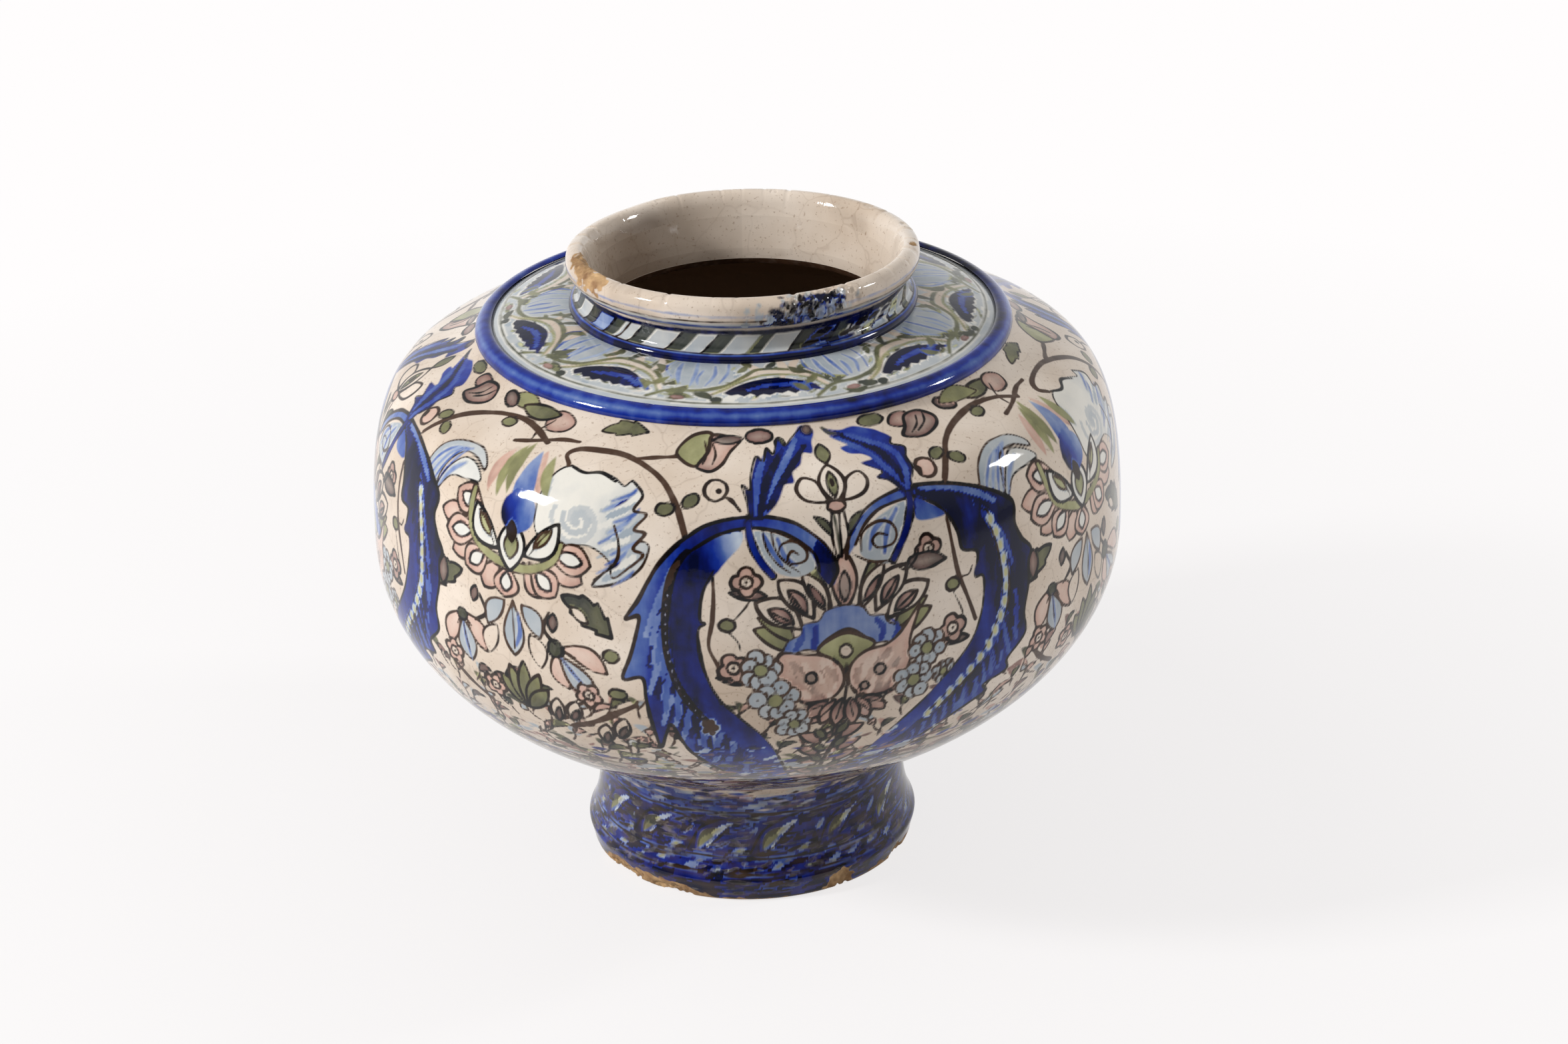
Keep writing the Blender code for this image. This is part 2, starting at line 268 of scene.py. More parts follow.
class Canvas:
    """Signed distances to the painted shapes, positive inside, on the rows and columns of a turned wall."""

    def __init__(self, rows):
        """The rows are the wall's (radius, height) places, on which nothing is painted yet."""
        self.arc = lengths(rows)
        self.radius = rows[:, 0]
        self.angle = -180.0 + 360.0 * np.arange(COLUMNS) / COLUMNS
        shape = (len(rows), COLUMNS)
        self.paint = {name: np.full(shape, -FAR) for name in PAINTS}
        self.tone = np.full(shape, 0.5)
        self.turn, self.pivot, self.squeeze = 0.0, 0.0, 1.0

    def about(self, centre, offsets):
        """Wall places at millimetre offsets from a centre."""
        radius = np.interp(centre[1], self.arc, self.radius)
        offsets = np.asarray(offsets, float)
        return np.stack([centre[0] + np.degrees(offsets[:, 0] / radius), centre[1] + offsets[:, 1]], axis=1)

    def flat(self, points):
        """Wall places laid flat: millimetres about their own middle angle."""
        points = np.asarray(points, float)
        angle = self.pivot + self.squeeze * (points[:, 0] - self.pivot)
        middle = 0.5 * (angle.min() + angle.max())
        radius = np.interp(points[:, 1], self.arc, self.radius)
        return middle + self.turn, np.stack([np.radians(angle - middle) * radius, points[:, 1]], axis=1)

    def window(self, middle, flat, reach):
        """The rows and columns near a flat shape, with their own flat places."""
        low, high = flat.min(0) - reach, flat.max(0) + reach
        rows = np.flatnonzero((self.arc >= low[1]) & (self.arc <= high[1]))
        if len(rows) == 0:
            return None
        away = (self.angle - middle + 180.0) % 360.0 - 180.0
        widest = math.degrees(max(-low[0], high[0]) / self.radius[rows].min())
        columns = np.flatnonzero(np.abs(away) <= widest)
        x = np.radians(away[columns])[None, :] * self.radius[rows][:, None]
        y = np.repeat(self.arc[rows][:, None], len(columns), axis=1)
        return np.ix_(rows, columns), x, y

    def lay(self, name, where, inside, tone=None):
        """Lays one paint: its own distance grows, and paints that lie over it are cut back to its edge."""
        inside = np.clip(inside, -FAR, FAR)
        place = PAINTS.index(name) if name in PAINTS else -1
        for rank, coat in enumerate(self.paint.values()):
            if rank == place:
                coat[where] = np.maximum(coat[where], inside)
            elif rank > place:
                coat[where] = np.minimum(coat[where], OVERLAP - inside)
        if tone is not None:
            self.tone[where] = np.where(inside > -TONE_RIM, tone, self.tone[where])

    def edges(self, x, y, flat, closed):
        """Distance of every place from every edge of a line, with the share of the edge at its nearest point.

        The offsets from the edges' starts and the edges themselves follow.
        """
        ends = np.roll(flat, -1, axis=0)
        start, run = (flat, ends - flat) if closed else (flat[:-1], (ends - flat)[:-1])
        dx = x.ravel()[None, :] - start[:, :1]
        dy = y.ravel()[None, :] - start[:, 1:]
        ex, ey = run[:, :1], run[:, 1:]
        along = np.clip((dx * ex + dy * ey) / np.maximum(ex * ex + ey * ey, 1e-9), 0.0, 1.0)
        return np.hypot(dx - along * ex, dy - along * ey), along, dx, dy, ex, ey

    def fill(self, name, points, tone=0.5, fade=None):
        """Fills an outline: least distance to its edges, signed by the even-odd rule.

        A fade is (start, end, end tone): the tone runs evenly from one place to the other.
        """
        middle, flat = self.flat(points)
        found = self.window(middle, flat, FAR)
        if found is None:
            return
        where, x, y = found
        distance, _, dx, dy, ex, ey = self.edges(x, y, flat, True)
        level = (dy >= 0) != (dy - ey >= 0)
        left = dx < dy * ex / np.where(ey == 0, 1e-9, ey)
        odd = (level & left).sum(axis=0) % 2 == 1
        inside = np.where(odd, 1.0, -1.0) * distance.min(axis=0)
        shade = tone
        if fade is not None:
            radius = np.interp(fade[0][1], self.arc, self.radius)
            begin, finish = (
                np.array([math.radians(p[0] + self.turn - middle) * radius, p[1]]) for p in fade[:2]
            )
            run = finish - begin
            part = ((x - begin[0]) * run[0] + (y - begin[1]) * run[1]) / (run @ run)
            shade = tone + (fade[2] - tone) * np.clip(part, 0.0, 1.0)
        self.lay(name, where, inside.reshape(x.shape), shade)

    def stroke(self, name, points, width=LINE, taper=0.0, closed=False, tone=None):
        """A brush stroke: half-width less the distance to the line, thinned towards its ends by the taper."""
        middle, flat = self.flat(points)
        found = self.window(middle, flat, FAR)
        if found is None:
            return
        where, x, y = found
        distance, along, *_ = self.edges(x, y, flat, closed)
        count = len(flat)
        at = (np.arange(len(distance))[:, None] + along) / max(count - (0 if closed else 1), 1)
        half = width * (1.0 - taper * np.abs(2.0 * at - 1.0) ** 2)
        if name == "line":
            half = half * PEN * (1.0 + WAVER * np.sin(11.0 * at + HAND.uniform(0, 6)))
        self.lay(name, where, (half - distance).max(axis=0).reshape(x.shape), tone)

    def drawn(self, points, closed=False):
        """A curve through points, each moved a little as a hand moves."""
        points = np.asarray(points, float)
        radius = np.interp(points[:, 1], self.arc, self.radius)
        slip = HAND.normal(0.0, CURVE_SLIP, points.shape)
        slip[:, 0] = np.degrees(slip[:, 0] / radius)
        return smooth(points + slip, closed)

    def line(self, points, width, taper=0.35):
        """An outline stroke along a curve drawn through points."""
        self.stroke("line", self.drawn(points), width, taper)

    def brush(self, name, points, width, taper, tone=None):
        """A brush stroke along a curve drawn through points."""
        self.stroke(name, self.drawn(points), width, taper, tone=tone)

    def shape(self, name, points, tone=0.5, fade=None, width=LINE):
        """A filled outline with a drawn edge."""
        curve = self.drawn(points, True)
        self.fill(name, curve, tone, fade)
        if width:
            self.stroke("line", curve, width, closed=True)

    def blob(self, name, centre, size, tone=0.5, lobes=0, depth=0.0, spin=0.0, fade=None, width=LINE):
        """A round or lobed spot: radius times one plus a cosine of the turn."""
        turn = np.linspace(0.0, 2 * math.pi, 24 if lobes == 0 else 10 * lobes, endpoint=False)
        wide, high = size if isinstance(size, tuple) else (size, size)
        reach = 1.0 + depth * np.abs(np.cos(0.5 * lobes * turn)) - 0.5 * depth
        x, y = wide * reach * np.cos(turn), high * reach * np.sin(turn)
        tilt = math.radians(spin)
        offsets = np.stack(
            [x * math.cos(tilt) - y * math.sin(tilt), x * math.sin(tilt) + y * math.cos(tilt)], 1,
        )
        points = self.about(centre, offsets + HAND.normal(0.0, SPOT_SLIP, offsets.shape))
        if name:
            self.fill(name, points, tone, fade)
        if width:
            self.stroke("line", points, width, closed=True)

    def blade(
        self, name, base, tip, half, tone=0.5, end_tone=None, bend=0.0, swell=0.5, teeth=0, width=LINE,
    ):
        """A leaf or petal from base to tip: half-width swells and closes along a bowed midrib, with teeth."""
        radius = np.interp(base[1], self.arc, self.radius)
        run = np.array([math.radians(tip[0] - base[0]) * radius, tip[1] - base[1]])
        side = np.array([-run[1], run[0]])
        t = np.linspace(0.0, 1.0, 16 + 6 * teeth)[:, None]
        rib = t * run + bend * (4.0 * t * (1.0 - t)) * side
        power = math.log(0.5) / math.log(swell)
        spread = half * np.sin(math.pi * t**power) ** 0.8
        if teeth:
            spread = spread * (1.0 - 0.35 * ((teeth * t) % 1.0))
        out = side / np.hypot(*side)
        outline = np.vstack([rib + spread * out, (rib - spread * out)[::-1]])
        points = self.about(base, outline)
        last = tone if end_tone is None else end_tone
        self.fill(name, points, tone, (base, tip, last))
        if width:
            self.stroke("line", points, width, closed=True)
        return self.about(base, rib)


def stem(c, points, half):
    """A stalk: one broad brown stroke."""
    c.brush("line", points, half + 0.1, 0.2, 0.12)


def ribbon(c, points, half, tone):
    """A blue ribbon: a dark stroke with a narrower blue one on it."""
    curve = c.drawn(points)
    c.stroke("line", curve, half + 0.55, 0.15)
    c.stroke("blue", curve, half, 0.15, tone=tone)


def loop_flower(c, centre, size, tone, petals=5):
    """A small flower: a lobed outline, an open ring inside it and a dot."""
    c.blob("pink", centre, size, tone, petals, 0.35, HAND.uniform(0, 72))
    c.blob("ground", centre, 0.46 * size, width=0.6)
    c.blob("line", centre, 0.14 * size, width=0)


def rosette(c, centre, size):
    """A flower of seven separate round petals about an olive heart."""
    petals, tone = 7, 0.16
    spin = HAND.uniform(0, 60)
    for turn in np.arange(0, 360, 360 / petals):
        offset = polar((0, 0), spin + turn + HAND.uniform(-9, 9), HAND.uniform(0.55, 0.8) * size)
        place = tuple(c.about(centre, [offset])[0])
        c.blob("white", place, HAND.uniform(0.36, 0.48) * size, HAND.uniform(0.2, 1.6) * tone, width=0.55)
        c.blob("line", place, 0.08 * size, tone, width=0)
    c.blob("olive", centre, 0.36 * size, 0.45, width=0.5)


def beads(c, rib, low, high, pitch, size, name, tone):
    """A row of dots along a rib, between two heights."""
    run = lengths(c.flat(rib)[1])
    for at in np.arange(0.5 * pitch, run[-1], pitch):
        place = (np.interp(at, run, rib[:, 0]), np.interp(at, run, rib[:, 1]))
        if low < place[1] < high:
            c.blob(name, place, size, tone, width=0)


def feathers(c, rib, low, high, lean, reach, pitch, name, tone, width):
    """Short strokes leaning out from a rib towards one side, as a leaf's side veins."""
    run = lengths(c.flat(rib)[1])
    for at in np.arange(pitch, run[-1], pitch):
        start = (np.interp(at, run, rib[:, 0]), np.interp(at, run, rib[:, 1]))
        if low < start[1] < high:
            end = polar((0.0, 0.0), lean + HAND.uniform(-6, 6), HAND.uniform(0.7, 1.2) * reach)
            way = c.about(start, [(0, 0), (0.6 * end[0], 0.42 * end[1]), end])
            c.stroke(name, smooth(way), width, 0.6, tone=tone)


def left_arm(c):
    """The left arm of the lyre: a long toothed leaf, streaked outside its dotted rib and cobalt inside it."""
    outer = [
        (3, 54), (-1.5, 64), (-5.4, 74), (-8.4, 84), (-9.8, 88.5), (-10.8, 96), (-11.8, 103), (-13, 97),
        (-14.1, 89.5), (-14.5, 98), (-14.9, 106), (-15.2, 114), (-15.6, 121.8), (-18.5, 121), (-17.4, 130),
        (-16.5, 138), (-16.0, 144.7), (-17.9, 143.5), (-16.2, 150.5), (-14.6, 158), (-12.8, 165),
        (-10.2, 172), (-6.4, 177.6), (-1.6, 180.6),
    ]
    inner = [
        (-1.4, 176.6), (-3.2, 170), (-5.2, 163), (-6.8, 155), (-7.2, 145.4), (-6.5, 143.4), (-7.5, 141.4),
        (-7.3, 132), (-6.1, 122), (-4.4, 113), (-2, 106), (1, 98), (3.2, 88), (4.6, 78), (6, 66), (8, 54),
    ]
    rib = [
        (-2, 178.4), (-6.5, 174.4), (-9.6, 167.6), (-11.2, 160), (-12, 150), (-12.2, 140), (-11.8, 130),
        (-10.6, 121), (-8.6, 112), (-5.8, 103), (-2.8, 94), (-0.2, 84), (2.2, 72), (5, 54),
    ]
    c.shape("blue", outer + inner, 0.52, ((-16.8, 130), (-12.6, 128), 0.84))
    tail = [
        (-8.6, 112), (-5.8, 103), (-2.8, 94), (-0.2, 84), (2.2, 72), (5, 54), (-1, 63), (-5, 74), (-8, 84),
        (-10.6, 97),
    ]
    c.shape("blue", tail, 0.66, ((-10, 110), (0, 64), 0.86), 0)
    c.shape("blue", rib[2:] + inner[:1:-1], 0.95, ((-8, 146), (-2, 92), 0.78), 0)
    c.shape(
        "blue",
        [(-9.4, 168.4), (-5.8, 174.2), (-1.8, 176.4), (-1.2, 172), (-3.4, 166), (-5.4, 161), (-8.4, 161)],
        0.97, ((-6.6, 168), (-1.6, 172.6), 0.0), 0,
    )
    vein = c.drawn(rib)
    feathers(c, vein, 84, 172, 255, 17.0, 4.0, "blue", 0.95, 0.7)
    feathers(c, vein, 90, 168, 248, 15.0, 6.0, "blue", 0.36, 0.6)
    feathers(c, vein, 60, 150, 278, 15.0, 6.5, "blue", 0.98, 0.6)
    feathers(c, vein, 60, 150, 262, 15.0, 8.0, "blue", 0.5, 0.6)
    c.line(outer, 0.72, 0.0)
    c.line(inner[2:10], 0.6, 0.3)
    c.line(rib[1:10], 1.75, 0.2)
    beads(c, vein, 106, 154, 3.5, (0.6, 1.0), "white", 0.6)
    c.blob("line", (-6.2, 102), (2.6, 3.4), 0.2, 5, 0.5, width=0)


def right_arm(c):
    """The right arm of the lyre: dark all over, with pale olive beads down its rib."""
    outer = [
        (16.5, 54), (19, 64), (22.6, 73), (27, 82), (31, 89.5), (34.6, 95), (37.4, 98.6), (36.4, 103),
        (40.6, 105.4), (40.4, 111), (43.6, 118.4), (43.2, 127), (44.2, 137), (44.3, 145), (45, 150),
        (43.2, 155), (42.2, 162), (42.6, 168.4), (40.6, 173), (37, 178), (33, 181.8), (29, 184),
        (25, 184.9),
    ]
    inner = [
        (25.4, 181), (28.6, 177), (30.6, 171), (31.6, 165), (31.9, 158.8), (34.3, 157.2), (34.2, 152),
        (33.8, 148), (35.3, 147), (35.4, 140), (34.8, 132), (33.2, 124.5), (30.6, 117), (27.6, 109.5),
        (24.6, 101.5), (21.6, 93), (19.2, 85), (17.2, 76), (15.2, 66), (13.2, 54),
    ]
    rib = [
        (30, 181), (34.4, 175.5), (36.8, 169), (38.2, 162), (39.1, 153), (39.5, 144), (39.3, 135),
        (38.2, 127.5), (36.2, 119.5), (33.4, 112), (30.4, 105), (27.4, 97), (24, 88), (20, 74), (15.5, 54),
    ]
    c.shape("blue", outer + inner, 0.99, ((38, 160), (24, 84), 0.74))
    c.shape("blue", rib[3:] + inner[:5:-1], 0.9, ((36, 150), (24, 84), 0.7), 0)
    vein = c.drawn(rib)
    feathers(c, vein, 70, 174, 292, 14.0, 3.6, "blue", 0.6, 0.7)
    feathers(c, vein, 70, 174, 286, 12.0, 5.0, "blue", 1.0, 0.6)
    feathers(c, vein, 70, 168, 250, 10.0, 4.2, "blue", 1.0, 0.65)
    c.brush("blue", [(27, 183.4), (32, 181), (36, 177), (39, 172)], 0.8, 0.5, 0.45)
    c.line(outer, 0.6, 0.0)
    c.line(rib[2:12], 2.3, 0.2)
    c.brush("blue", rib[2:12], 1.5, 0.3, 0.7)
    beads(c, vein, 96, 170, 5.4, (1.3, 2.1), "olive", 0.12)


def volutes(c):
    """The ribbons that arch over the palmette from both arms, each ending in a spiral."""
    arch = [
        (-10.2, 172), (-6.4, 177.6), (-1.6, 180.6), (2.4, 180.6), (6.4, 178.4), (9.4, 174), (11.4, 168),
        (12.4, 161), (11.4, 155.6),
    ]
    under = [
        (9.8, 160.5), (9.2, 166), (7.4, 171), (4.6, 175), (1.4, 176.9), (-1.6, 176.8), (-5, 174.6),
        (-8.2, 169.6),
    ]
    c.shape(
        "white", [(0.4, 176), (5, 173.6), (8.6, 168), (9.4, 162.6), (7, 159.8), (3.6, 161.4), (1.4, 168)],
        0.0, ((1, 175), (8, 162), 0.2), 0,
    )
    for shift in (0.0, 2.0):
        way = [(2 + shift, 174.6 - shift), (3 + shift, 169 - shift), (4.6 + shift, 163.6)]
        c.brush("blue", way, 0.9, 0.4, 0.5)
    c.shape("blue", arch + under, 0.86, ((-6, 176), (7, 176), 0.5), 0)
    c.shape(
        "blue", [(9.6, 171), (11.4, 167), (12.4, 161), (11.4, 155.6), (9.8, 160.5), (9.4, 165)], 1.0,
        width=0,
    )
    c.line(arch, 0.75, 0.1)
    c.line(under, 0.8, 0.2)
    ribbon(c, [(-0.3, 179), (0.3, 172), (1.5, 165.4), (3.2, 160.6)], 1.3, 0.8)
    for shift in (0.0, 1.2):
        c.line([(1.8 + shift, 175.6), (2.3 + shift, 170), (3.6 + shift, 164.8), (5.8 + shift, 160.8)], 0.5)
    c.line(
        [
            (3.9, 167.2), (4.6, 171), (6.4, 171.6), (8, 168.6), (7.8, 165.2), (6, 164.4), (5.2, 166.4),
            (6, 168.2), (6.9, 167.2),
        ],
        0.65,
    )
    arch = [
        (40.6, 173), (37, 178), (33, 181.8), (29, 184), (25, 184.9), (21, 183.4), (17.8, 180), (15.4, 175),
        (14.2, 169.6), (13.8, 164),
    ]
    under = [(15.2, 168.5), (16.8, 174), (19.2, 178.4), (22, 180.8), (25.4, 181)]
    c.shape(
        "white",
        [(24.4, 180), (20.4, 178), (17.4, 173), (16, 166), (17.6, 161.6), (20.6, 160.4), (22.6, 168)], 0.0,
        ((23, 178), (17, 163), 0.2), 0,
    )
    for shift in (0.0, 2.2):
        way = [(22.4 - shift, 178 - shift), (20.4 - shift, 172), (19.6 - shift, 164 + shift)]
        c.brush("blue", way, 0.9, 0.4, 0.46)
    c.shape("blue", arch[4:] + under, 0.6, ((24, 183), (14, 166), 0.4), 0)
    c.line(arch, 0.75, 0.1)
    c.line(under, 0.7, 0.2)
    c.shape(
        "blue", [(25.6, 180.4), (28, 177.6), (29.8, 172.4), (27, 172.2), (25.2, 174)], 0.7,
        ((28, 179), (26, 172), 0.4), 0,
    )
    ribbon(c, [(25, 184), (24.6, 178), (23.3, 170.5), (20.9, 160.6)], 1.4, 0.86)
    c.line(
        [
            (16, 166), (16.6, 171.6), (18.8, 174.8), (21, 173.8), (21.9, 170), (20.8, 166.6), (18.8, 166.2),
            (17.8, 168.6), (18.8, 171), (20.1, 170),
        ],
        0.65,
    )
    c.line([(15.2, 165), (17.4, 161.8), (20.4, 160.4), (22.4, 157), (24.2, 160), (25, 166)], 0.6)


def arch_sprigs(c):
    """The two feathered leaves that spring from the arches, and the ring buds beside them."""
    left = [
        (0, 180.6), (-0.4, 186), (-0.9, 192.6), (0.3, 190.6), (0.4, 197), (1.5, 205.4), (2.5, 202.6),
        (3.3, 208.8), (4.4, 206), (5.7, 212.8), (6.7, 209.6), (8.4, 213), (10.6, 217.4), (12.6, 215.4),
        (12, 210), (11.4, 205.2), (9.7, 206.2), (9, 200.6), (7.4, 197.4), (7.4, 193), (5.8, 191.8),
        (4.6, 186.6), (3.2, 182.4), (1.6, 180.4),
    ]
    c.shape("blue", left, 0.95, ((2, 184), (10, 214), 0.74), 0)
    c.line(left[:13], 0.5, 0.2)
    for start, end, tone in (
        ((1, 182), (3, 206), 0.55), ((1.6, 182), (6, 208), 1.0), ((2.4, 182), (9, 212), 0.5),
        ((3, 183), (10.4, 209), 1.0),
    ):
        way = [start, (0.5 * (start[0] + end[0]) - 0.6, 0.5 * (start[1] + end[1])), end]
        c.brush("blue", way, 0.75, 0.6, tone)
    c.blob("pink", (11.6, 215.8), (1.8, 2.0), 1.0, width=0)
    right = [
        (24, 184), (22.4, 188.6), (20.8, 190.4), (22, 192.6), (20.4, 195.4), (19.4, 197.6), (21.4, 199),
        (20, 201.4), (18, 203), (16.8, 206), (18.6, 207), (17.2, 209.4), (16, 211.4), (14.8, 215),
        (18, 213.4), (20.6, 214.6), (23.4, 212.6), (25.4, 210), (26.8, 206.4), (26.2, 203.6), (28, 201),
        (27.2, 196.4), (27.5, 192.2), (26.4, 188), (25.8, 184.4),
    ]
    c.shape("blue", right, 0.97, ((25, 188), (18, 212), 0.62), 0)
    for shift, tone in ((-1.6, 0.6), (0.0, 1.0), (1.6, 0.6)):
        way = [(25, 185), (24.4 + shift, 194), (22.8 + 1.3 * shift, 203), (17.4 + shift, 212)]
        c.brush("blue", way, 0.7, 0.5, tone)
    c.line(right[18:24], 0.5, 0.3)
    c.line(right[:6], 0.4, 0.4)
    c.brush("olive", [(14.6, 215.4), (15.6, 213.4), (17, 212.6)], 0.9, 0.4, 0.9)
    c.line([(-1.2, 182.6), (-2.6, 186.6), (-4, 188.6)], 0.9)
    c.blob(None, (-5.2, 190.8), (3.9, 4.3), width=0.75)
    c.blob("line", (-4.7, 190.4), 1.1, width=0)
    c.blob("pink", (29.4, 190.4), (3.7, 4.0), 0.35, width=0.75)
    c.blob("line", (28.2, 190), (1.0, 1.8), width=0)


def crown_flower(c):
    """The small open flower on its stalk between the arches."""
    middle = LYRE_AXIS
    for at in (-1.1, 0.0, 1.1):
        c.line([(middle + 0.6 * at, 164), (middle + at, 172), (middle + 0.9 * at, 180.4)], 0.55, 0.2)
    c.brush("olive", [(13, 165), (12.8, 172), (12.7, 180)], 0.55, 0.3, 0.85)
    for side in (-1, 1):
        c.blade(
            "olive", (middle + 1.2 * side, 172), (middle + 3.8 * side, 179.6), 1.3, 0.85, bend=0.1 * side,
            width=0.5,
        )
        petal = [
            (middle + 1.4 * side, 184.4), (middle + 4.4 * side, 185.8), (middle + 5.7 * side, 190),
            (middle + 4.8 * side, 193.8), (middle + 2.6 * side, 192.4), (middle + 1.9 * side, 188.6),
        ]
        c.shape("ground", petal, width=0.75)
    c.blade("ground", (middle, 183.6), (middle, 199.2), 4.6, width=0.75)
    c.blade("olive", (middle, 185.6), (middle, 196), 1.9, 0.6, width=0.55)
    c.blob("line", (middle, 191.4), (0.8, 1.9), width=0)
    c.blob("pink", (13.2, 182.4), (3.2, 2.1), 0.5, width=0.65)
    c.blade("olive", (middle, 199.8), (13.2, 209), 2.6, 0.5, 0.7, width=0.55)


def palmette(c):
    """The palmette in the lyre: a fan of open petals, a blue collar, an olive heart and two mauve lobes."""
    middle = LYRE_AXIS
    for side in (-1, 1):
        for reach, low, high, half in ((13.0, 132, 141.4, 3.6), (12.4, 136, 145.6, 3.0)):
            c.blade(
                "olive", (middle + 7.4 * side, low), (middle + reach * side, high), half, 0.55, 0.4,
                0.1 * side, width=0.65,
            )
        for reach, low, high, half in ((12.7, 140.4, 151, 4.8), (9.4, 144, 158.6, 4.5)):
            base, tip = (middle + 0.48 * reach * side, low), (middle + reach * side, high)
            c.blade("ground", base, tip, half, bend=0.07 * side, swell=0.56, width=0.8)
            core = (middle + 0.86 * reach * side, low + 0.76 * (high - low))
            c.blade(
                "pink", (middle + 0.58 * reach * side, low + 2), core, 0.5 * half, 0.85, 0.5, 0.05 * side,
                width=0.6,
            )
            c.line([(middle + 0.62 * reach * side, low + 3), core], 0.6)
        c.blade("olive", (middle + 2.0 * side, 147), (middle + 5.2 * side, 166), 1.9, 0.6, 0.8, width=0.6)
        c.blade(
            "ground", (middle + 2.4 * side, 146), (middle + 6.0 * side, 160.6), 3.0, bend=0.05 * side,
            width=0.7,
        )
        c.blade("pink", (middle + 2.8 * side, 148), (middle + 5.2 * side, 156.6), 1.3, 0.8, width=0.5)
    c.blade("pink", (middle, 146), (middle + 0.1, 167), 4.4, 0.62, 0.3, width=0.75)
    c.blade("pink", (middle, 149), (middle + 0.1, 160), 1.9, 0.98, 0.8, width=0.5)
    collar = [
        (4.6, 130), (5.0, 136), (7.0, 138.6), (7.2, 142), (9.6, 142.8), (10.6, 146.6), (13.3, 147.4),
        (15.8, 146.6), (17.0, 143), (19.0, 142.2), (19.6, 138.6), (21.8, 136.4), (22, 130.6), (19, 132.4),
        (17.4, 132), (15.6, 135.6), (13.3, 138), (11.0, 135.8), (9.4, 132.2), (7.4, 132.6),
    ]
    c.shape("blue", collar, 0.44, ((8, 146), (14, 132), 0.3), width=0.4)
    for at in (6.4, 8.6, 18.4, 20.6):
        c.brush("blue", [(at, 133), (at + 0.5, 137), (at + 0.6 * (middle - at) / 5, 140.6)], 0.6, 0.5, 0.66)
    c.line([(9.4, 133), (11, 136.4), (13.3, 138.6), (15.6, 136.4), (17.4, 132.6)], 0.85)
    c.shape(
        "olive",
        [
            (9.2, 131.6), (11, 135.6), (13.3, 137.6), (15.6, 135.6), (17.6, 131.6), (15, 127), (13.3, 120),
            (11.6, 127),
        ],
        0.12, ((13.3, 137), (13.3, 122), 0.6), width=0.7,
    )
    c.blob("ground", (13.3, 130.6), (2.3, 2.5), width=0.55)
    for side in (-1, 1):
        lobe = [
            (-9.2, 131.6), (-6, 130.8), (-2.8, 129.4), (-0.7, 125), (-0.4, 118.6), (-1.9, 113.4),
            (-4.7, 111.6), (-7.3, 113.6), (-8.9, 118.6), (-9.8, 125),
        ]
        lobe = [(middle - across * side, height) for across, height in lobe]
        if side > 0:
            lobe[0:1] = [(middle + 9.6, 131), (middle + 11.2, 143), (middle + 8.2, 134.6)]
        c.shape("pink", lobe, 0.22, ((middle + 3 * side, 127), (middle + 8 * side, 113), 0.62), width=0.6)
        for _ in range(26):
            place = (middle + HAND.uniform(1.6, 8.8) * side, HAND.uniform(114, 129))
            lean = 0.16 * (place[0] - middle)
            way = [place, (place[0] - lean, place[1] - HAND.uniform(2, 5))]
            c.stroke(
                "pink", c.drawn(way), HAND.uniform(0.4, 0.8), 0.4, tone=HAND.choice((0.1, 0.45, 0.62, 0.8)),
            )
        c.stroke("line", c.drawn(lobe, True), 0.5, closed=True)
        c.blob("pink", (middle + 5.0 * side, 121.8), 2.0, 0.8, width=0.6)
    c.blob("pink", (16.0, 116.2), 1.6, 0.8, width=0.55)
    c.line([(13.3, 126), (13.4, 119), (13.2, 111)], 0.75, 0.3)
    for tip, tone in (
        ((7.4, 104.6), 0.9), ((19.4, 104.6), 0.9), ((9.8, 101.6), 0.75), ((17, 101.6), 0.75),
        ((12, 99.6), 0.9), ((14.8, 99.6), 0.9),
    ):
        c.blade("pink", (0.45 * tip[0] + 7.3, 112), tip, 2.8, tone, 0.5, width=0.7)
        c.line([(0.45 * tip[0] + 7.3, 110.6), (tip[0], tip[1] + 3)], 0.5)
    for centre, size in (
        ((1.2, 126.0), 7.0), ((3.2, 113.6), 7.8), ((6.0, 102.6), 6.0), ((25.6, 126), 6.6),
        ((23.6, 114.6), 7.0), ((28.4, 115), 4.6),
    ):
        rosette(c, centre, size)


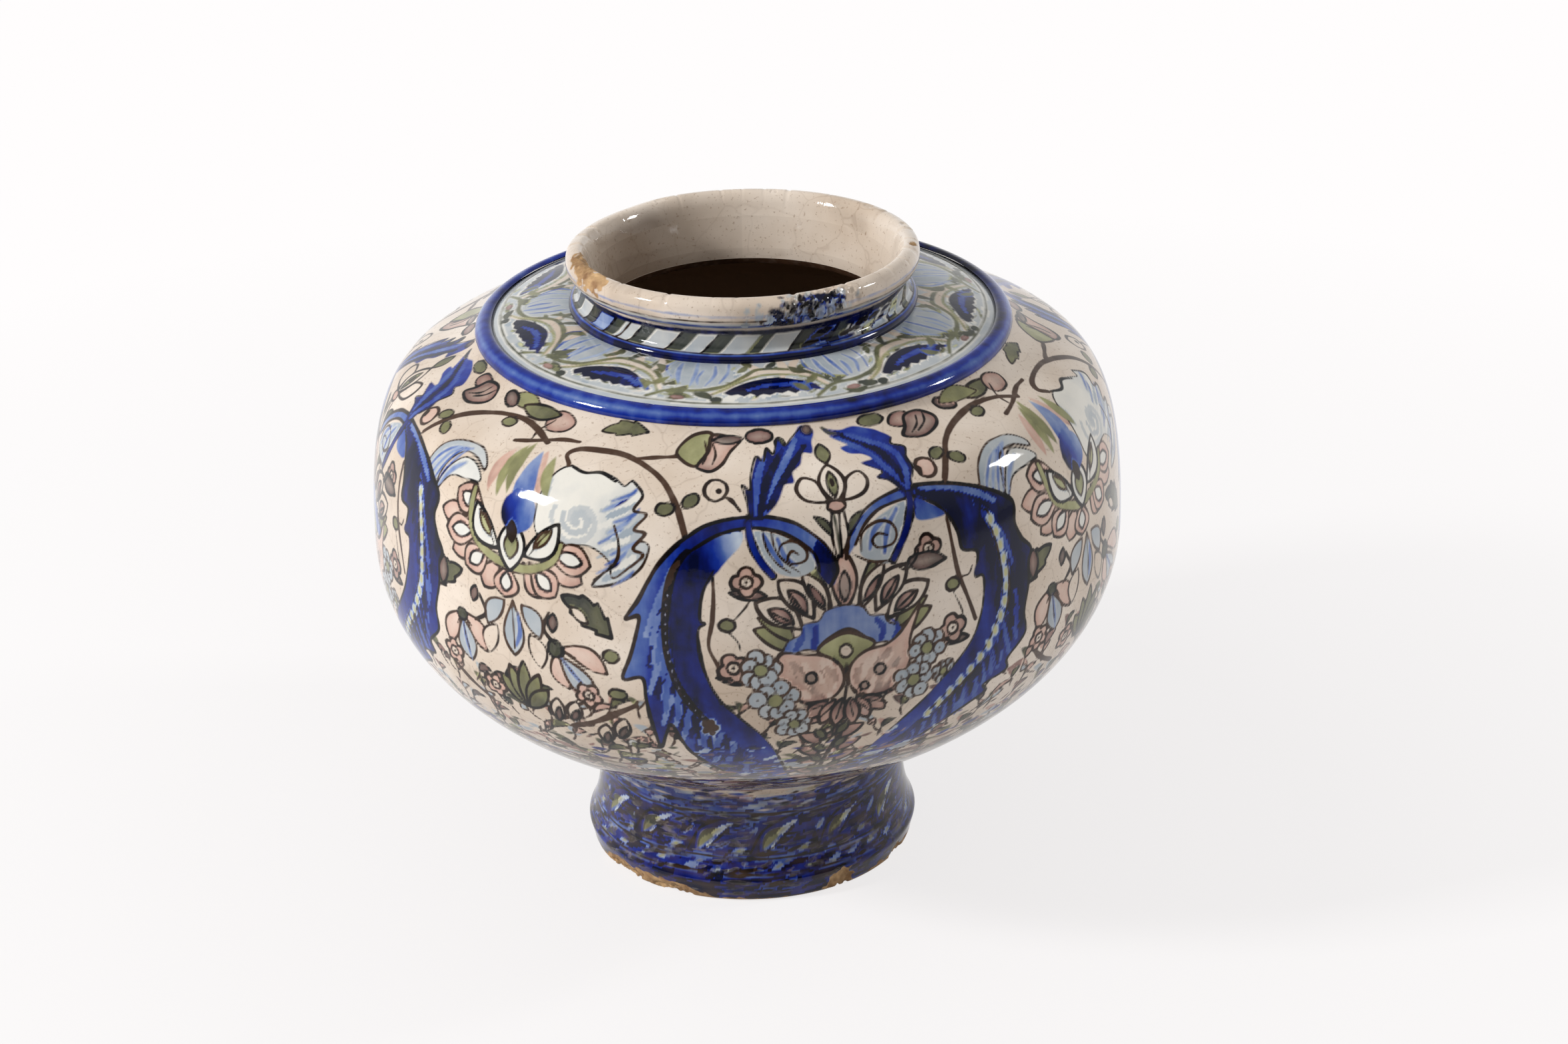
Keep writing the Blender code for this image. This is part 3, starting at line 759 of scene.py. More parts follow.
def lyre_foliage(c):
    """Stalks, looped flowers and buds between the palmette and the arms, and the palmette's stalk below."""
    stem(c, [(-5.4, 165), (-5.3, 155), (-5.5, 145), (-6.0, 135), (-4.6, 128)], 0.8)
    stem(c, [(30.0, 171), (30.3, 160), (31.2, 150), (32.6, 140), (33.8, 132)], 0.9)
    for centre, size, tone in (
        ((-0.6, 158.4), 4.6, 0.55), ((26.4, 162.4), 4.4, 0.6), ((-2.6, 127), 4.8, 0.5),
        ((29.8, 131), 4.8, 0.6),
    ):
        c.blade(
            "pink", (centre[0] - 2.4, centre[1] - 3.6), (centre[0] + 2.8, centre[1] - 5.0), 2.0, 1.0,
            width=0.65,
        )
        loop_flower(c, centre, size, tone, 4)
    c.shape(
        "pink", [(23.6, 160.6), (26.6, 161), (28.8, 158.4), (27.6, 156), (25, 155.4), (23.4, 157.4)], 1.0,
        width=0.6,
    )
    for centre in ((-3.4, 143), (30.0, 147.4)):
        c.blob("olive", centre, (2.8, 2.3), 0.6, width=0.65)
        c.line([(centre[0], centre[1] - 2), (centre[0] + 1.4, 137), (centre[0] + 1.8, 133)], 0.45)
        c.line([(centre[0] + 1, centre[1] + 2), (centre[0] + 2.6, 149), (centre[0] + 3.4, 152)], 0.45)
    stem(c, [(13.2, 101), (12.8, 94), (11.4, 84), (10.8, 72), (10.4, 54)], 1.0)
    for side, low in (
        (-1, 93), (1, 95), (-1, 85), (1, 87), (-1, 77), (1, 79), (-1, 68), (1, 70), (-1, 60), (1, 62),
    ):
        base = (LYRE_STALK + 0.6 * side, low - 6)
        c.line([base, (LYRE_STALK + 2.2 * side, low - 2), (LYRE_STALK + 3.0 * side, low)], 0.75)
        c.blade(
            "pink", (LYRE_STALK + 1.6 * side, low - 3), (LYRE_STALK + 4.8 * side, low + 4), 2.6, 0.8, 0.5,
            0.12 * side, width=0.7,
        )
        c.blade(
            "olive", (LYRE_STALK + 0.8 * side, low), (LYRE_STALK + 2.4 * side, low + 6), 1.7, 0.75,
            width=0.6,
        )


def lyre(c):
    """One whole lyre medallion."""
    for draw in (lyre_foliage, palmette, left_arm, right_arm, volutes, arch_sprigs, crown_flower):
        draw(c)


def vines(c):
    """The stalks that leave the arches to both sides, with their buds, and the spots under the moulding."""
    stem(
        c,
        [
            (-9.4, 174), (-11, 184), (-13.8, 193), (-17.4, 199.4), (-22, 203.2), (-27, 204), (-31, 202.4),
            (-32.4, 199), (-31, 195.6),
        ],
        1.3,
    )
    stem(c, [(-20, 203), (-16, 204.4), (-12, 205.6)], 1.0)
    stem(
        c,
        [
            (31.6, 184.4), (33.4, 191), (36, 198), (39.4, 203.4), (44, 206.8), (49, 208.4), (54, 206.4),
            (58.4, 202),
        ],
        1.3,
    )
    stem(c, [(51.4, 199), (55.6, 201.2), (60.4, 204.8), (64, 205.6)], 1.0)
    for centre, spin in (
        ((-9.0, 186.4), 40), ((-12.8, 183), 10), ((32.7, 194.8), 30), ((35.7, 190.8), -30), ((47, 205), 10),
    ):
        c.blob("olive", centre, (3.2, 2.3), 0.6, spin=spin, width=0.5)
    c.shape(
        "olive",
        [(-12.8, 206), (-12.4, 211), (-10, 215.2), (-7, 215.6), (-6.6, 209), (-7.6, 203.4), (-9.6, 201)],
        0.35, width=0.75,
    )
    c.shape(
        "pink",
        [
            (-8.6, 202.4), (-7.4, 208), (-6.6, 215.2), (-3.4, 215), (-1.2, 213.6), (-3.2, 208),
            (-4.4, 201.6), (-6.4, 198.4), (-8.6, 200),
        ],
        0.62, ((-8, 203), (-3, 212), 0.4), width=0.75,
    )
    c.blade("pink", (-6.6, 213), (-0.8, 213.6), 1.8, 1.0, width=0.5)
    for shift in (0.0, 1.6):
        c.line([(-8.2 + shift, 212.6), (-7.4 + shift, 207), (-7.8 + shift, 202)], 0.5)
    c.shape("pink", [(28, 212.4), (29.6, 216), (32.8, 215.6), (33.4, 211.4), (30.2, 210)], 0.7, width=0.5)
    c.shape(
        "pink",
        [(29.6, 205.4), (33, 203.4), (36.8, 206), (37.8, 210.4), (35.6, 214.6), (32, 214), (30.8, 209.6)],
        0.92, ((30, 207), (37, 212), 0.7), width=0.75,
    )
    for shift in (0.0, 1.7):
        c.line([(31 + shift, 206), (33.4 + shift, 209.4), (34.4 + shift, 213)], 0.55)
    c.blob("pink", (2.2, 214.4), (4.6, 2.9), 0.8, width=0.65)
    c.blob("olive", (24.8, 215.6), (4.8, 2.5), 0.6, width=0.5)
    c.blob("pink", (42.2, 213.6), (4.6, 2.6), 0.95, spin=-28, width=0.6)
    c.blob("olive", (6.0, 211), (1.7, 2.4), 0.7, width=0.5)
    c.blade("olive", (46.6, 213.4), (56.6, 214.6), 3.2, 0.5, 0.7, -0.05, width=0.6)
    c.blade("olive", (-29, 212.4), (-19.4, 214.6), 3.6, 0.5, 0.7, 0.1, teeth=3, width=0.45)
    c.blade("olive", (-44.4, 212.6), (-55, 214.4), 3.4, 0.35, 0.5, -0.1, width=0.4)
    c.shape(
        "pink",
        [(-41.6, 211), (-40.4, 215.6), (-37.6, 216.4), (-35.4, 213), (-36.6, 208.6), (-39.8, 207.4)], 0.55,
        width=0.5,
    )
    c.line([(-41, 200), (-41.4, 206), (-40, 212)], 0.55, 0.5)


def curled_leaves(c):
    """The two big pale leaves that curl round the top of the blossom."""
    flap = [
        (-22.8, 153.8), (-18.6, 156.6), (-15.8, 162.4), (-14.6, 169.6), (-16.4, 171), (-19, 164),
        (-21.6, 158.4),
    ]
    c.shape("white", flap, 0.5, width=0.55)
    body = [
        (-32.6, 168), (-28, 166.6), (-23.6, 167.6), (-20.4, 163), (-19.8, 157.4), (-17.4, 162),
        (-15.4, 167), (-17.0, 168.6), (-15.2, 174), (-17.1, 175.4), (-15.6, 180.6), (-17.5, 182),
        (-16.6, 187.6), (-19.0, 192.4), (-19.8, 190), (-22, 192.6), (-24.6, 194.4), (-27.4, 192.8),
        (-30.4, 194.6), (-32.6, 190), (-33.6, 180),
    ]
    c.shape("white", body, 0.98, ((-25, 180), (-16.5, 172), 0.25), width=0.4)
    streaks = (("blue", 0.44), ("white", 0.0), ("blue", 0.3), ("white", 0.9))
    for at in range(17):
        high = 161.0 + 1.8 * at
        start = (-16.6 - 1.1 * (at % 3), high)
        way = [start, (start[0] - 1.0, high - 2.4), (start[0] - 3.6, high - 6.0)]
        name, tone = streaks[at % len(streaks)]
        c.brush(name, way, 0.7, 0.6, tone)
    turn = np.radians(np.arange(-200, 330, 22))
    for reach, tone in ((10.5, 0.4), (6.0, 0.25)):
        wind = reach * (1.0 - 0.11 * (turn + 3.5))
        curl = np.stack([wind * np.cos(turn), 0.9 * wind * np.sin(turn)], axis=1)
        c.brush("white", c.about((-26.2, 175.6), curl), 0.6, 0.5, tone)
    c.line(body[5:14], 0.7)
    c.line([(-20.2, 176), (-19.2, 169.6), (-19.6, 162.6), (-22.8, 156)], 0.7)
    c.line([(-30.6, 194.8), (-27.4, 192.8), (-24.6, 194.4), (-21.6, 191.4)], 0.85)
    left = [
        (-59.8, 166), (-59, 177), (-57.4, 185.6), (-53.8, 191), (-49, 191.6), (-46.2, 187.8), (-45.6, 184),
        (-48.4, 187), (-51.2, 187.4), (-53.2, 184), (-54.4, 177), (-55.6, 167),
    ]
    c.shape("white", left, 0.0, ((-58, 172), (-47, 190), 0.4), 0.45)
    for shift, tone in ((0.0, 0.4), (1.2, 0.24), (2.4, 0.46), (3.4, 0.3)):
        way = [(-58.6 + shift, 170), (-57.2 + shift, 179), (-54.6 + 0.8 * shift, 186.4), (-50.4, 189.4)]
        c.brush("blue", way, 0.6, 0.6, tone)
    inner = [
        (-55, 168), (-53.6, 178), (-50.8, 185.6), (-47.6, 184.6), (-45.6, 179.6), (-48.4, 178.8),
        (-52.2, 177),
    ]
    c.shape("white", inner, 0.7, width=0.4)
    c.brush("blue", [(-54, 172), (-52.4, 179), (-50, 183.4)], 0.8, 0.5, 0.3)


def drooping_bell(c, top, tips, half):
    """A hanging flower: two pale outer petals, a grey-blue middle one with a vein, and a dark cap."""
    for tip, bend in ((tips[0], -0.1), (tips[2], 0.12)):
        c.blade("pink", top, tip, 0.85 * half, 0.12, 0.42, bend, 0.6, width=0.6)
        c.line([top, between(top, tip, 0.4)], 0.5)
    rib = c.blade("white", (top[0], top[1] - 2), tips[1], half, 0.0, 0.25, 0.0, 0.6, width=0.6)
    c.stroke("blue", rib, 0.8, 0.5, tone=0.38)
    c.line([tuple(rib[2]), tuple(rib[8]), tuple(rib[12])], 0.45)
    c.blob("olive", (top[0], top[1] - 1), (2.6, 2.2), 0.9, width=0.5)


def blossom(c):
    """The composite blossom between two lyres: looped petals about a blue eye, hanging petals and leaves."""
    curled_leaves(c)
    for name, start, end, tone in (
        ("olive", (-41.4, 177), (-40.6, 199), 0.4), ("pink", (-43.4, 178), (-42.4, 196), 0.45),
        ("olive", (-39.6, 179), (-39.6, 201), 0.55), ("pink", (-33.6, 181), (-36.4, 199), 0.5),
        ("olive", (-32.2, 180), (-34.2, 197), 0.45),
    ):
        c.blade(name, start, end, 2.3, tone, 0.3, bend=0.06, width=0)
    c.blade("olive", (-27.8, 148.4), (-20.0, 135.6), 5.6, 1.0, 0.75, 0.08, teeth=4)
    c.blade("ground", (-26.4, 145), (-23.6, 139.6), 1.9, width=0.55)
    c.blade("olive", (-46.4, 147), (-52.8, 137), 4.8, 0.75, 0.5, -0.08, teeth=3)
    c.blade("pink", (-50.6, 149), (-50.8, 138), 2.6, 0.9, width=0.55)
    heart = (-37.0, 165.0)
    petals = (
        (-52, 166), (-31, 146), (-24.6, 154), (-41.6, 144), (-48.6, 153), (-49.4, 175), (-50.4, 160),
        (-45.6, 149.4), (-37.6, 142.6),
    )
    for index, tip in enumerate(petals + ((-28.8, 147.4), (-23.4, 160.6))):
        c.blade(
            "pink", between(heart, tip, 0.42), tip, 5.6 if index > 4 else 4.4, 0.1, 0.46, swell=0.64,
            width=0.6,
        )
        if index > 4:
            near, far = between(heart, tip, 0.58), between(heart, tip, 0.9)
            c.blade("white", near, far, 2.5, 0.9, swell=0.55, width=0.5)
    sepal = [
        (-46, 177), (-45.6, 168), (-44, 161), (-40.6, 156.4), (-37, 154.4), (-33, 155.6), (-29.6, 159.8),
        (-28.2, 166),
    ]
    curve = c.drawn(sepal)
    c.stroke("line", curve, 2.5, 0.3)
    c.stroke("olive", curve, 1.8, 0.4, tone=0.3)
    for side in (-1, 1):
        tip = (BLOSSOM_AXIS + 7.8 * side, 173)
        c.blade("white", (BLOSSOM_AXIS + 2.4 * side, 159.6), tip, 4.4, 0.9, bend=-0.12 * side, width=0.75)
        c.blade(
            "olive", (BLOSSOM_AXIS + 4.0 * side, 163), (BLOSSOM_AXIS + 6.8 * side, 170.4), 1.7, 0.2,
            width=0.55,
        )
        c.line(
            [
                (BLOSSOM_AXIS + 3.4 * side, 160.6), (BLOSSOM_AXIS + 5.0 * side, 166.4),
                (BLOSSOM_AXIS + 7.0 * side, 171),
            ],
            0.5,
        )
    c.blade("blue", (-36.6, 176), (-37.2, 198), 4.4, 0.5, 0.2, swell=0.25, width=0)
    c.blade("white", (-36.9, 170), (-36.9, 152.8), 5.6, 0.9, swell=0.45, width=0.75)
    c.blade("olive", (-36.9, 167), (-37.0, 157), 3.0, 0.35, width=0.55)
    c.blob("blue", (-36.6, 174), (7.4, 7.6), 1.0, fade=((-39.4, 172), (-34.4, 176.6), 0.3), width=0)
    c.blade("line", (-37.4, 171), (-36.8, 162.6), 2.4, width=0)
    for side, drop in ((-1, 0.0), (1, 0.6)):
        c.blade(
            "white", (HANGING_AXIS + 1.6 * side, 141.4), (HANGING_AXIS + 4.8 * side, 130.6), 3.6, 0.0,
            0.3, 0.1 * side, width=0.6,
        )
        c.line(
            [
                (HANGING_AXIS + 6.4 * side, 141), (HANGING_AXIS + 5.4 * side, 134 + drop),
                (HANGING_AXIS + 7.4 * side, 129.6),
            ],
            0.9,
        )
        c.blade(
            "ground", (HANGING_AXIS + 3.0 * side, 131), (HANGING_AXIS + 4.8 * side, 119), 3.6, 0.5,
            bend=0.1 * side, width=0.5,
        )
    c.blade("white", (-36.2, 142), (-36.0, 121.4), 4.4, 0.0, 0.2, swell=0.6, width=0.65)
    c.brush("blue", [(-35.4, 138), (-35.0, 131), (-35.6, 125)], 1.0, 0.5, 0.36)
    c.line([(-36.2, 140), (-36, 131), (-36, 124)], 0.5)
    c.blade("pink", (-29.2, 141), (-29.4, 134), 1.9, 0.9, width=0.6)
    c.blade("pink", (-43.4, 143), (-44, 136.8), 1.9, 0.9, width=0.6)


def blossom_foot(c):
    """The lower flowers, tuft and stalks under the blossom."""
    drooping_bell(c, (-46.4, 131.0), ((-49.6, 117), (-45.0, 112.6), (-41.4, 119)), 4.6)
    drooping_bell(c, (-28.6, 128.4), ((-27.0, 113), (-22.6, 110), (-20.8, 121.6)), 4.4)
    for centre, size, tone in (
        ((-20.2, 128.6), (3.0, 2.4), 0.6), ((-19.4, 114), (3.4, 2.2), 0.6), ((-29.0, 128), (2.8, 3.4), 0.9),
    ):
        c.blob("olive", centre, size, tone, width=0.6)
    for tip in ((-39.2, 112), (-37.2, 117), (-34.6, 120), (-32, 116), (-30.8, 110)):
        c.blade("olive", (-35, 99), tip, 3.0, 0.75, 0.5, width=0.7)
    stem(c, [(-28, 95), (-23.6, 100), (-20, 105.6), (-16.8, 110.4)], 1.4)
    stem(c, [(-43, 96), (-46.6, 102), (-50, 109)], 1.2)
    for base, tip in (
        ((-30.2, 96), (-29.4, 107.6)), ((-27.6, 98), (-26.2, 107.8)), ((-20.4, 92), (-18.8, 103.4)),
        ((-23, 88), (-22, 99)),
    ):
        c.blade("ground", base, tip, 2.9, width=0.75)
        c.blade("pink", base, (tip[0], tip[1] - 4), 1.3, 0.95, width=0.55)
    for centre in ((-41, 105), (-24, 111.6), (-49, 113)):
        loop_flower(c, centre, 4.4, 0.4)


def undergrowth(c, low, high):
    """Loose sprigs that fill the ground between the main motifs: a stalk and two leaves each."""
    paints = (("olive", 0.7), ("pink", 0.8), ("pink", 0.5), ("white", 0.1), ("olive", 0.9), ("pink", 0.95))
    for height in np.arange(low, high, 6.6):
        for angle in np.arange(-180, 180, 4.8):
            base = (angle + HAND.uniform(-2.4, 2.4), height + HAND.uniform(-3, 3))
            lean, rise = HAND.uniform(-3.0, 3.0), HAND.uniform(4, 6.5)
            way = [(base[0] - lean, base[1] - 5), (base[0] - 0.3 * lean, base[1] - 2.5), base]
            c.brush("line", way, 0.6, 0.4, 0.25)
            for side in (-1, 1):
                name, tone = paints[HAND.integers(len(paints))]
                tip = (base[0] + lean + 1.5 * side, base[1] + rise - 1.6 * (side > 0))
                c.blade(
                    name, base, tip, HAND.uniform(1.1, 2.0), tone, bend=0.2 * side,
                    width=0.5 if side > 0 else 0,
                )


def band(c, name, low, high, tone=0.5, waver=0.0):
    """A painted line all round the wall, its edges wavering a little."""
    turn = np.radians(c.angle)[None, :]
    sway = waver * (np.sin(3 * turn + low) + 0.6 * np.sin(7 * turn + 2 * high) + 0.4 * np.sin(23 * turn))
    arc = c.arc[:, None] + sway
    c.lay(name, np.ix_(range(len(c.arc)), range(COLUMNS)), np.minimum(arc - low, high - arc), tone)


def paint_belly(c):
    """The belly: sprigs on its lower half, blossoms, lyres and vines over them, and streaks at its bottom."""
    undergrowth(c, 10, 112)
    c.pivot = BLOSSOM_PIVOT
    for c.turn, c.squeeze in BLOSSOM_TURNS:
        blossom_foot(c)
        blossom(c)
    c.squeeze = 1.0
    for c.turn in LYRE_TURNS:
        vines(c)
        lyre(c)
    c.turn = 0.0
    smeared = (
        ("olive", 0.6), ("pink", 0.85), ("white", 0.1), ("blue", 0.8), ("line", 0.3), ("olive", 0.9),
        ("pink", 0.7),
    )
    dashes(c, 380, -2, 20, (-0.5, 1.6), (5, 12), smeared)
    dashes(c, 900, 20, 56, (-0.5, 2.0), (4, 10), smeared, (0.8, 1.8))
    dashes(c, 1500, 54, 82, (-0.6, 2.4), (4, 10), smeared, (0.6, 1.5))
    dashes(c, 260, 80, 92, (-1.0, 3.0), (2, 5), smeared)


def paint_dome(c):
    """Nine toothed half-leaves under olive arches, and between them pale blue cups among olive sprays."""
    band(c, "white", -1.0, 40.0, 0.3)
    veil = (
        ("olive", 0.05), ("olive", 0.25), ("white", 0.0), ("white", 0.9), ("olive", 0.55), ("ground", 0.5),
    )
    dashes(c, 640, 8, 34, (-1.5, 4.0), (2, 7), veil)
    for angle in np.arange(-DOME_STEP, 360 - DOME_STEP, DOME_STEP):
        c.turn = angle + HAND.uniform(-1.5, 1.5)
        for low, high, lean in ((24, 33, -27), (22, 33, 1), (21, 33, 9), (23, 33, 17)):
            way = [
                (lean, low), (lean + HAND.uniform(-2, 2), 0.5 * (low + high)),
                (lean + HAND.uniform(-4, 4), high),
            ]
            c.stroke("ground", c.drawn(way), HAND.uniform(1.4, 2.4), 0.4)
        cup = [
            (-21, 33), (-22.8, 28), (-21.6, 23), (-17.6, 18), (-11.6, 15.6), (-7, 18.4), (-4.8, 23),
            (-4.6, 28), (-2.6, 33),
        ]
        c.shape("white", cup, 0.0, ((-20, 32), (-6, 18), 0.3), 0)
        for low, high, lean in (
            (17, 31, -3), (16, 33, -1), (16.4, 30, 1.4), (18, 32, 3.4), (17, 26, 0.2), (20, 33, -4.4),
        ):
            way = [
                (-13 + 1.6 * lean, low), (-13 + 2.4 * lean + HAND.uniform(-1, 1), 0.5 * (low + high)),
                (-13 + 2.2 * lean, high),
            ]
            c.stroke("blue", c.drawn(way), HAND.uniform(0.4, 0.9), 0.6, tone=HAND.uniform(0.2, 0.42))
        c.brush(
            "ground", [(-10, 11), (-6, 14.6), (-1.4, 21), (4, 25), (11, 24.4), (16, 20.6), (20, 13)], 1.7,
            0.4,
        )
        c.brush(
            "olive",
            [
                (-24, 8), (-19, 13), (-12, 13.6), (-5, 17), (-1, 23.4), (3, 27), (10, 26.4), (16, 22.6),
                (21, 15),
            ],
            0.95, 0.4, 0.6,
        )
        c.brush(
            "olive", [(-10, 10.6), (-6, 14.4), (-1.4, 19.6), (4, 22.8), (11, 22.2), (16, 18.4), (19.6, 12)],
            0.6, 0.4, 0.35,
        )
        teeth = [(17 - 1.5 * k, 11.0 + 1.0 * (k % 2) + HAND.uniform(-0.4, 0.4)) for k in range(15)]
        leaf = [(-5.8, 12.6), (-3.2, 16.4), (1.0, 19.4), (6, 21), (11, 19.8), (15.4, 15.8), (18, 11.4)]
        c.fill("blue", np.vstack([c.drawn(leaf), teeth]), 1.12, ((2, 13), (14, 19), 0.95))
        c.brush("blue", [(0, 14.4), (5, 16.6), (10, 16.2), (14, 13.4)], 0.6, 0.7, 0.66)
        sprays = (
            ((21, 12), (27, 17), 2.2, 0.7), ((20, 16), (24.6, 23), 1.7, 0.8),
            ((-25, 11), (-29, 17), 1.9, 0.6), ((-8, 9), (-13.4, 11.8), 1.7, 0.9),
            ((22, 10), (29, 9.4), 1.4, 0.5), ((1, 29), (-2, 33), 1.6, 0.7), ((13, 26), (19, 31), 1.9, 0.6),
            ((5, 27), (9, 33), 1.5, 0.85), ((-24, 22), (-28, 28), 1.7, 0.7),
            ((-26, 15), (-21, 21), 1.5, 0.5), ((17, 22), (13, 29), 1.4, 0.7), ((-3, 25), (0, 31), 1.4, 0.6),
        )
        for base, tip, half, tone in sprays:
            c.blade("olive", base, tip, half, tone, bend=HAND.uniform(-0.25, 0.25), width=0)
        c.blob("olive", (-7.4, 8.8), (2.2, 1.6), 1.0, width=0)
        c.blob("pink", (25, 9.4), (2.8, 1.4), 0.7, width=0)
    c.turn = 0.0
    band(c, "olive", 6.4, 7.2, 0.8, 0.2)


def paint_neck(c):
    """Blue line on the bead, slanted dark stripes and pale cells, smudges of grime and painted shade at the
    right, a dark line under the lip.
    """
    for index in range(NECK_STRIPES):
        c.turn = 360.0 * index / NECK_STRIPES + HAND.uniform(-1.0, 1.0)
        wide = HAND.uniform(4.6, 6.4)
        cell = np.array([(0.0, 3.8), (14.6, 3.8), (21.0, 11.6), (6.4, 11.6)])
        stripe = np.array([(0.0, 3.8), (wide, 3.8), (wide + 6.4, 11.6), (6.4, 11.6)])
        shade = HAND.uniform(0.0, 0.25)
        if index % 5 == 1:
            c.fill("blue", cell, 0.3 * shade, ((2, 4), (14, 10), 0.3))
        else:
            c.fill("white", cell, shade, ((2, 4), (14, 10), 0.45))
        c.fill("olive", stripe, 1.1, ((0, 4), (8, 11), 0.95))
        c.stroke("line", stripe[[0, 3]], 0.5)
        if index % 4 == 2:
            c.stroke("line", stripe[[0, 3]] + (7.0, 0.0), 0.45)
    c.turn = 0.0
    grime_and_shade = (("blue", 1.0), ("blue", 1.2), ("line", 0.6), ("white", -0.1))
    # Dark smudges gathered at the right of the neck: grime, and painted shade on that side
    for _ in range(46):
        place = (HAND.normal(44.0, 13.0), HAND.uniform(4.0, 11.0))
        way = c.about(place, [(0, 0), (2.5, 0.6), (6.0, 1.0)])
        name, tone = grime_and_shade[HAND.integers(len(grime_and_shade))]
        c.stroke(name, smooth(way), HAND.uniform(0.5, 1.3), 0.5, tone=tone)
    band(c, "blue", -1.0, 3.7, 0.97, 0.15)
    band(c, "line", 3.4, 4.0, waver=0.1)
    band(c, "blue", 11.0, 12.6, 1.0, 0.12)


def paint_lip(c):
    """Grey-blue lines under the roll, and a dark scar where the glaze broke away at the front right."""
    band(c, "blue", -1.0, 1.6, 0.97, 0.15)
    band(c, "white", 1.6, 4.8, 0.45, 0.1)
    band(c, "blue", 2.7, 3.9, 0.6, 0.15)
    band(c, "line", 5.0, 5.5, waver=0.15)
    band(c, "blue", 6.9, 7.2, 0.3, 0.15)
    scar = [
        (6, 4), (9, 7), (13, 6.6), (16, 9.5), (20, 12.4), (26, 13), (31, 11.4), (34, 9), (31, 6.4), (25, 5),
        (19, 3), (12, 1.6),
    ]
    c.shape("blue", scar, 1.3, ((14, 5), (30, 11), 1.2), 0)
    crumbs = (("blue", 1.3), ("line", 0.9), ("white", 0.0), ("white", 0.3), ("white", 0.6))
    for _ in range(170):
        place = (HAND.normal(20.0, 7.0), HAND.normal(7.0, 2.6))
        name, tone = crumbs[HAND.integers(len(crumbs))]
        c.blob(
            name, place, (HAND.uniform(0.5, 1.5), HAND.uniform(0.4, 0.9)), tone, 5, 0.5,
            HAND.uniform(0, 90), width=0,
        )


def dashes(c, count, low, high, rise, reach, paints, thick=(0.35, 0.8)):
    """Loose brush streaks that run slightly uphill round the wall."""
    for _ in range(count):
        place = (HAND.uniform(-180, 180), HAND.uniform(low, high))
        up, far = HAND.uniform(*rise), HAND.uniform(*reach)
        name, tone = paints[HAND.integers(len(paints))]
        way = c.about(place, [(0, 0), (0.5 * far, 0.35 * up), (far, up)])
        c.stroke(name, smooth(way), HAND.uniform(*thick), 0.7, tone=tone)


def paint_foot(c):
    """A dark streaked ground, a dabbed border between dark lines, and slanted leaves with pale sprays."""
    dark = (
        ("blue", 0.85), ("blue", 1.1), ("line", 0.8), ("olive", 0.95), ("olive", 0.85), ("olive", 1.0),
        ("line", 0.6), ("olive", 0.9), ("blue", 0.8),
    )
    band(c, "blue", -1.0, 45.0, 1.3, 0.3)
    dashes(c, 1100, 2, 44, (-0.8, 2.6), (6, 14), dark, (0.4, 0.9))
    band(c, "line", 12.2, 13.0, waver=0.4)
    for angle in np.arange(-180, 180, 9):
        c.turn = angle + HAND.uniform(-2.5, 2.5)
        c.blade(
            ("blue", "olive", "olive")[HAND.integers(3)], (0, 14.4), (4.2, 16.4 + HAND.uniform(-1, 1)), 0.8,
            0.3, width=0,
        )
        c.blade("olive", (3.6, 16.8), (7, 17.8), 0.7, 0.5, width=0)
    c.turn = 0.0
    band(c, "line", 18.4, 19.2, waver=0.4)
    for angle in np.arange(-177, 183, 24):
        c.turn = angle + HAND.uniform(-1.5, 1.5)
        c.blade("blue", (-15, 20.4), (1, 35), 5.4, 0.97, 0.86, 0.1, width=0)
        c.line([(-15, 21), (-10, 30), (-3, 34.6), (3, 35.4)], 0.7, 0.5)
        c.blade("olive", (-11, 21.6), (-1, 31), 2.4, 0.75, 0.95, 0.14, width=0)
        c.blade("white", (-7, 23), (2, 33), 0.7, 0.0, 0.1, 0.12, width=0)
        c.blade("olive", (-9.6, 22.4), (-4, 27.6), 1.0, 0.4, 0.6, 0.14, width=0)
        c.line([(-9, 21.4), (-3.4, 26), (1.6, 32)], 0.45, 0.5)
        c.blade("olive", (-16, 27), (-12.6, 31), 0.6, 0.4, width=0)
        c.blade("olive", (2.4, 21), (6.8, 23), 0.9, 0.4, width=0)
    c.turn = 0.0
    dashes(c, 420, 4, 36, (0.5, 3.0), (4, 9), dark)
    band(c, "line", 36.6, 37.6, waver=0.5)
    mixed = (
        ("olive", 0.7), ("pink", 0.85), ("white", 0.3), ("blue", 0.6), ("line", 0.5), ("ground", 0.5),
        ("blue", 0.95),
    )
    dashes(c, 420, 38.6, 52, (-0.4, 2.0), (5, 11), mixed)


def ripple(x, y, wave, seed):
    """Smooth noise between about -1 and 1: eight sine waves of unlike direction, length and phase."""
    draw = np.random.default_rng(seed)
    total = np.zeros(np.broadcast(x, y).shape)
    for _ in range(8):
        way = draw.uniform(0, 2 * math.pi)
        rate = 2 * math.pi / (wave * draw.uniform(0.6, 1.7))
        total += np.sin(rate * (x * math.cos(way) + y * math.sin(way)) + draw.uniform(0, 2 * math.pi))
    return total / 4.0


